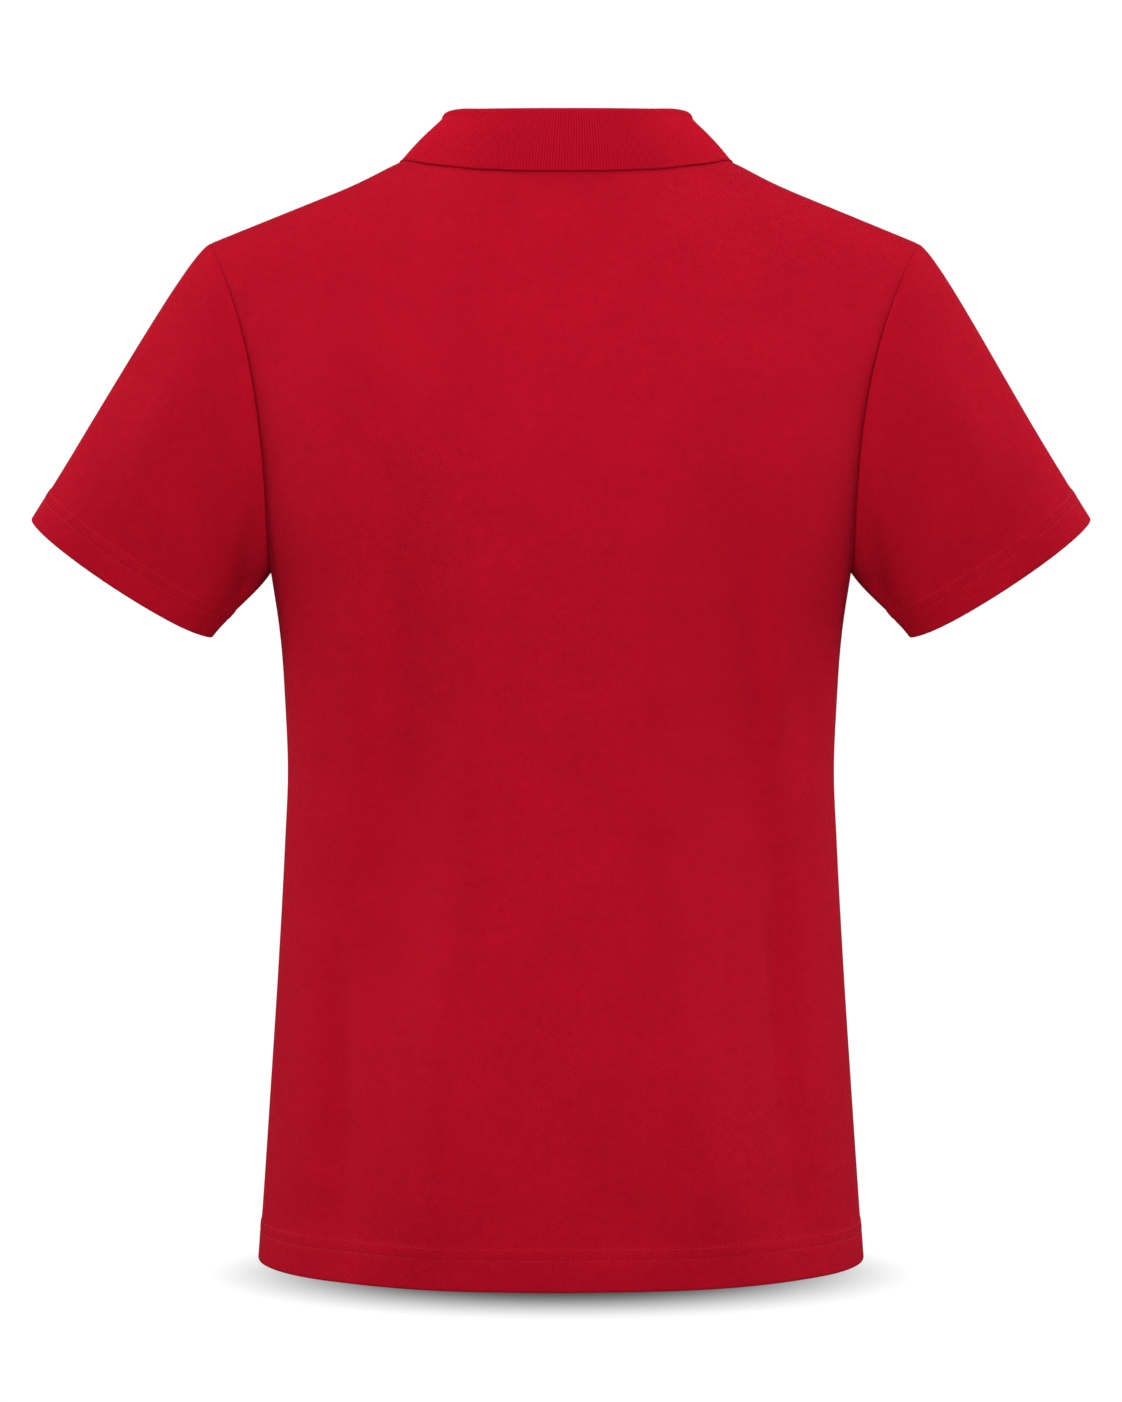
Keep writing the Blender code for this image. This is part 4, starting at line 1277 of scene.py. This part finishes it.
# %% Placket stitches
TOPSTITCH_IN, TOPSTITCH_END = 0.0018, 0.0010  # from a strip's edge, and from its top
BOX_HEIGHTS = (0.0020, 0.0125)  # of the cross rows above the placket's bottom
TOPSTITCH_PITCH, TOPSTITCH = 0.0026, (0.0021, 0.00042, 0.00030)
LINE_POINTS = 60  # a sewn line follows the strip through this many points


def on_strip(x, z, lift=0.0):
    """A place on the upper strip's face, and its normal."""
    place, normal = chest_point(x, z)
    return place + normal * (float(strip_lift(x, z)) + lift), normal


def strip_line(start, end):
    """A straight sewn line on the strip."""
    found = [on_strip(x, z) for x, z in np.linspace(start, end, LINE_POINTS)]
    return tuple(np.array(part) for part in zip(*found))


edge_x = PLACKET_HALF_WIDTH - TOPSTITCH_IN
top_z = float(strip_top(edge_x)) - TOPSTITCH_END
row_heights = [PLACKET_BOTTOM + up for up in BOX_HEIGHTS]
placket_lines = [strip_line((x, row_heights[0]), (x, top_z)) for x in (-edge_x, edge_x)]
placket_lines += [strip_line((-edge_x, z), (edge_x, z)) for z in row_heights]
placket_stitches = sewn("placket_stitches", placket_lines, TOPSTITCH_PITCH, TOPSTITCH)

# %% Buttonholes
BUTTON_HEIGHTS = (-0.0930, -0.1450, -0.1970)
HOLE_LENGTH, HOLE_WIDTH, HOLE_DROP = 0.0145, 0.0030, 0.0012
HOLE_PITCH, HOLE_STITCH = 0.00040, (0.00125, 0.00042, 0.00046)
HOLE_SIDE, HOLE_SLANT, HOLE_LIFT = 0.27, 0.15, 0.00012  # of the stitches down each side
BAR_REACH, BAR_OUT, BAR_LIFT, BAR_STITCHES = 0.42, 0.0002, 0.00018, 7  # of the bar at each end

hole_parts = []
for height in BUTTON_HEIGHTS:
    middle = height - HOLE_DROP
    for end in (-1, 1):
        for step in np.arange(-HOLE_LENGTH / 2, HOLE_LENGTH / 2, HOLE_PITCH):
            place, normal = on_strip(end * HOLE_WIDTH * HOLE_SIDE, middle + step, HOLE_LIFT)
            hole_parts.append((place, (1, 0, HOLE_SLANT * end), normal))
        for x in np.linspace(-HOLE_WIDTH * BAR_REACH, HOLE_WIDTH * BAR_REACH, BAR_STITCHES):
            place, normal = on_strip(x, middle + end * (HOLE_LENGTH / 2 + BAR_OUT), BAR_LIFT)
            hole_parts.append((place, (0, 0, 1), normal))
hole_parts = [np.array(part, float) for part in zip(*hole_parts)]
buttonholes = stitched("buttonholes", *hole_parts, HOLE_STITCH)

# %% [markdown]
# ## Buttons
# A shirt button is turned from a small disc of resin: a raised rounded rim, a dish, and four holes
# for the thread. One is modelled as a machinist would make it, from a cylinder, and copied to
# each of the three places.

# %% A button's shape
BUTTON_RADIUS, BUTTON_THICK = 0.0056, 0.0024
BUTTON_RIM, BUTTON_DISH, BUTTON_ROUND, ROUND_STEPS = 0.0015, 0.0007, 0.0004, 4
BUTTON_SIDES, HOLE_SIDES = 64, 20
HOLE_RADIUS, HOLE_SPREAD, HOLE_ANGLES = 0.0008, 0.0017, (45, 135, 225, 315)
RIM_REACH = 1.2 * BUTTON_RIM  # the rim is within this of the outside
FACES_UP = 0.9  # a face whose normal's z is more than this
SAME_LEVEL = 1e-5  # two heights nearer than this are the same
SMOOTH_RESIN = 40  # degrees: sharper edges stay sharp


def cylinder(sides, radius, depth, place=(0, 0, 0)):
    """A new upright cylinder."""
    bpy.ops.object.select_all(action="DESELECT")
    bpy.ops.mesh.primitive_cylinder_add(vertices=sides, radius=radius, depth=depth, location=place)
    return bpy.context.object


def on_rim(edge):
    """Whether an edge is one of the two circles round the top of a button's rim, or its lowest one."""
    heights = [vertex.co.z for vertex in edge.verts]
    if max(heights) < -BUTTON_THICK / 2 + SAME_LEVEL:
        return True
    level = max(heights) - min(heights) < SAME_LEVEL
    from_axis = min(math.hypot(*vertex.co.xy) for vertex in edge.verts)
    sides = {face.normal.z > FACES_UP for face in edge.link_faces}
    return level and from_axis > BUTTON_RADIUS - RIM_REACH and len(sides) == 2


def button_shape():
    """A button at the origin, facing up."""
    button = cylinder(BUTTON_SIDES, BUTTON_RADIUS, BUTTON_THICK)
    mesh = edit(button)
    bpy.ops.mesh.select_all(action="DESELECT")
    for face in mesh.faces:
        face.select_set(face.normal.z > FACES_UP)
    bmesh.update_edit_mesh(button.data)
    bpy.ops.mesh.inset(thickness=BUTTON_RIM)
    bpy.ops.transform.translate(value=(0, 0, -BUTTON_DISH))
    bpy.ops.mesh.select_all(action="DESELECT")
    mesh = bmesh.from_edit_mesh(button.data)
    for edge in mesh.edges:
        edge.select_set(on_rim(edge))
    bmesh.update_edit_mesh(button.data)
    bpy.ops.mesh.bevel(offset=BUTTON_ROUND, segments=ROUND_STEPS)
    bpy.ops.object.mode_set(mode="OBJECT")
    return button


first_button = button_shape()
print("a button without holes has", len(first_button.data.polygons), "faces")

# %% The first button's holes
for angle in np.radians(HOLE_ANGLES):
    place = (HOLE_SPREAD * math.cos(angle), HOLE_SPREAD * math.sin(angle), 0)
    drill = cylinder(HOLE_SIDES, HOLE_RADIUS, 3 * BUTTON_THICK, place)
    boolean = first_button.modifiers.new("hole", "BOOLEAN")
    boolean.operation = "DIFFERENCE"
    boolean.object = drill
    only(first_button)
    bpy.ops.object.modifier_apply(modifier="hole")
    bpy.data.objects.remove(drill)
bpy.ops.object.shade_smooth_by_angle(angle=math.radians(SMOOTH_RESIN))
first_button.data.materials.clear()
first_button.data.materials.append(resin)
print("a button has", len(first_button.data.polygons), "faces")

# %% All buttons and their thread
BUTTON_THREADS = (-0.00022, 0.00022)
THREAD_GRAIN = (0.0040, 0.00042, 0.00042)
THREAD_LIFT = 0.00008  # above the dish
BUTTON_TURNS = (4, -7, 11)  # degrees: a sewn button never sits quite straight

buttons, thread_parts = {}, []
for number, (height, turn) in enumerate(zip(BUTTON_HEIGHTS, BUTTON_TURNS), start=1):
    low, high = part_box(f"button_{number}")
    middle = (low + high) / 2
    normal = Vector(chest_point(0, height)[1])
    upright = normal.to_track_quat("Z", "Y").to_matrix()
    turned = upright @ Matrix.Rotation(math.radians(turn), 3, "Z")
    button = linked(f"button_{number}_resin", first_button.data.copy())
    button.data.transform(Matrix.Translation(middle) @ turned.to_4x4())
    buttons[f"button_{number}"] = button
    along, facing = turned @ Vector((1, 0, 0)), turned @ Vector((0, 0, 1))
    for side in (-1, 1):
        for step in BUTTON_THREADS:
            y = side * HOLE_SPREAD * math.sqrt(0.5) + step
            spot = Vector((0, y, BUTTON_THICK / 2 - BUTTON_DISH + THREAD_LIFT))
            thread_parts.append((middle + turned @ spot, along, facing))
bpy.data.objects.remove(first_button)
middles, directions, normals = (np.array(part, float) for part in zip(*thread_parts))
# The solid buttons lean with the shirt already, so their thread is set back before it leans too.
before_lean = 2 * middles - leaned(middles)
button_threads = stitched("button_threads", before_lean, directions, normals, THREAD_GRAIN)

# %% [markdown]
# ## Stage and light
# The shirt stands in a plain white studio. A soft light in front and one behind shape it from a
# little above, two tall ones beside it catch its edges, and a wide one hangs overhead. The camera
# sees a white floor with one soft shadow painted round the hem, as in a catalogue. As a light, the
# floor and the walls are much dimmer than they look, so that the shading of the cloth stays.

# %% The floor
FLOOR_DROP = 0.0040  # the hem just clears the floor
FLOOR_RADIUS, FLOOR_SIDES = 9, 96

floor_place = (0, 0, HEM_HEIGHT - HEM_DIP - FLOOR_DROP)
bpy.ops.object.select_all(action="DESELECT")
bpy.ops.mesh.primitive_circle_add(
    vertices=FLOOR_SIDES, radius=FLOOR_RADIUS, fill_type="NGON", location=floor_place
)
floor = bpy.context.object
floor.name = "floor"
print("floor at", round(floor_place[2], 4))

# %% How the floor looks
FLOOR_RETURN = 0.33  # how much of its light the floor throws back on the shirt
FLOOR_ROUGH = 0.85
PAINTED_SHADOW, WHITE = 0.07, 1.05  # how bright the floor looks in its painted shadow under the hem, and away from it
PAINTED_SHADOW_FROM, PAINTED_SHADOW_TO = -0.040, 0.105  # the painted shadow runs from this far inside an ellipse round the hem to this far outside it
PAINTED_SHADOW_WIDTH = 0.72  # the share of the hem's width that this ellipse has


def smooth_step(wire, low, high):
    """0 below low and 1 above high, with soft ends."""
    t = ((wire - low) / (high - low)).at_least(0).at_most(1)
    return t * t * (3 - 2 * t)


def for_the_eye(start):
    """1 where the camera looks straight at a surface, and 0 where it only gives light."""
    return start.node("ShaderNodeLightPath", {}, {}, "Is Camera Ray")


floor_finish, start, floor_shader = new_finish("floor")
floor_shader["Base Color"].default_value = (FLOOR_RETURN, FLOOR_RETURN, FLOOR_RETURN, 1)
floor_shader["Roughness"].default_value = FLOOR_ROUGH
floor_shader["Specular IOR Level"].default_value = 0.0
x, y, _ = start.node("ShaderNodeTexCoord", {}, {}, "Object").parts()
away = (x * x + y * y) ** 0.5
rings = ((x / (PAINTED_SHADOW_WIDTH * TORSO[0][1])) ** 2 + (y / TORSO[0][2]) ** 2) ** 0.5
outside = away - away / rings.at_least(0.01)  # never divided by 0
# the floor is brightened for the camera, with a soft shadow painted round the hem
floor_glow_with_painted_shadow = PAINTED_SHADOW + smooth_step(outside, PAINTED_SHADOW_FROM, PAINTED_SHADOW_TO) * (WHITE - PAINTED_SHADOW)
seen_painted_floor = start.node("ShaderNodeEmission", {}, {"Strength": floor_glow_with_painted_shadow})
lit_floor = Wire(start.tree, start.tree.nodes["Principled BSDF"].outputs[0])
mix = {0: for_the_eye(start), 1: lit_floor, 2: seen_painted_floor}
both = start.node("ShaderNodeMixShader", {}, mix)
connect(both, start.tree.nodes["Material Output"].inputs["Surface"])
floor.data.materials.append(floor_finish)
print("the floor's finish has", len(start.tree.nodes), "nodes")

# %% The room
ROOM_LIGHT, ROOM_SEEN = 0.19, 1.05  # how bright the walls are, and how bright they look

world = bpy.data.worlds.new("studio")
world.use_nodes = True
bpy.context.scene.world = world
background = world.node_tree.nodes["Background"].inputs
background["Color"].default_value = (1, 1, 1, 1)
by_eye = for_the_eye(Wire(world.node_tree))
connect(ROOM_LIGHT + by_eye * (ROOM_SEEN - ROOM_LIGHT), background["Strength"])
print("the walls give", ROOM_LIGHT, "and look", ROOM_SEEN)

# %% Light
SHIRT_MIDDLE = Vector((0, 0, -0.30))
LIGHTS = (
    # name, place, width and height, power
    ("back_box", (0.0, 2.2, 0.40), (0.8, 0.7), 42),
    ("front_box", (0.0, -2.2, 0.40), (0.8, 0.7), 27),
    ("left_box", (1.9, -0.56, 0.3), (0.6, 1.4), 27),
    ("right_box", (-1.9, -0.56, 0.3), (0.6, 1.4), 27),
    ("top_box", (0, 0.2, 1.6), (1.6, 1.2), 14),
)
for name, place, size, power in LIGHTS:
    bpy.ops.object.light_add(type="AREA", location=place)
    light = bpy.context.object
    light.name = name
    light.data.shape = "RECTANGLE"
    light.data.size, light.data.size_y = size
    light.data.energy = power
    light.rotation_euler = (SHIRT_MIDDLE - Vector(place)).to_track_quat("-Z", "Y").to_euler()

bpy.context.scene.view_settings.view_transform = "Standard"
bpy.context.scene.view_settings.look = "None"
print("lights:", *(name for name, *_ in LIGHTS))

# %% [markdown]
# ## What each piece is
# Last, every piece and every line of stitches is attached to the body it moves with, and the solid
# that each piece stands for is hidden. The sheets are listed by name.

# %% Pieces and solids
shown = {
    "back_panel": (back_cloth, "pique"),
    "front_panel": (front_cloth, "pique"),
    "sleeve_left": (sleeves["left"], "pique"),
    "sleeve_right": (sleeves["right"], "pique"),
    "collar": (collar_knit, "rib"),
    "placket_top": (placket_top, "pique"),
    "placket_under": (placket_under, "pique"),
}
shown.update({node: (button, "button") for node, button in buttons.items()})
for node, (piece, slot) in shown.items():
    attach(piece, "root")
    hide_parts(node)
sewing = [body_stitches, *sleeve_stitches.values(), placket_stitches, buttonholes, button_threads]
for piece in sewing:
    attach(piece, "root")
print(len(shown), "pieces stand for solids, and", len(sewing), "are stitches")

# %% Sheets
print("sheets:", *(piece.name for piece, slot in shown.values() if slot != "button"))
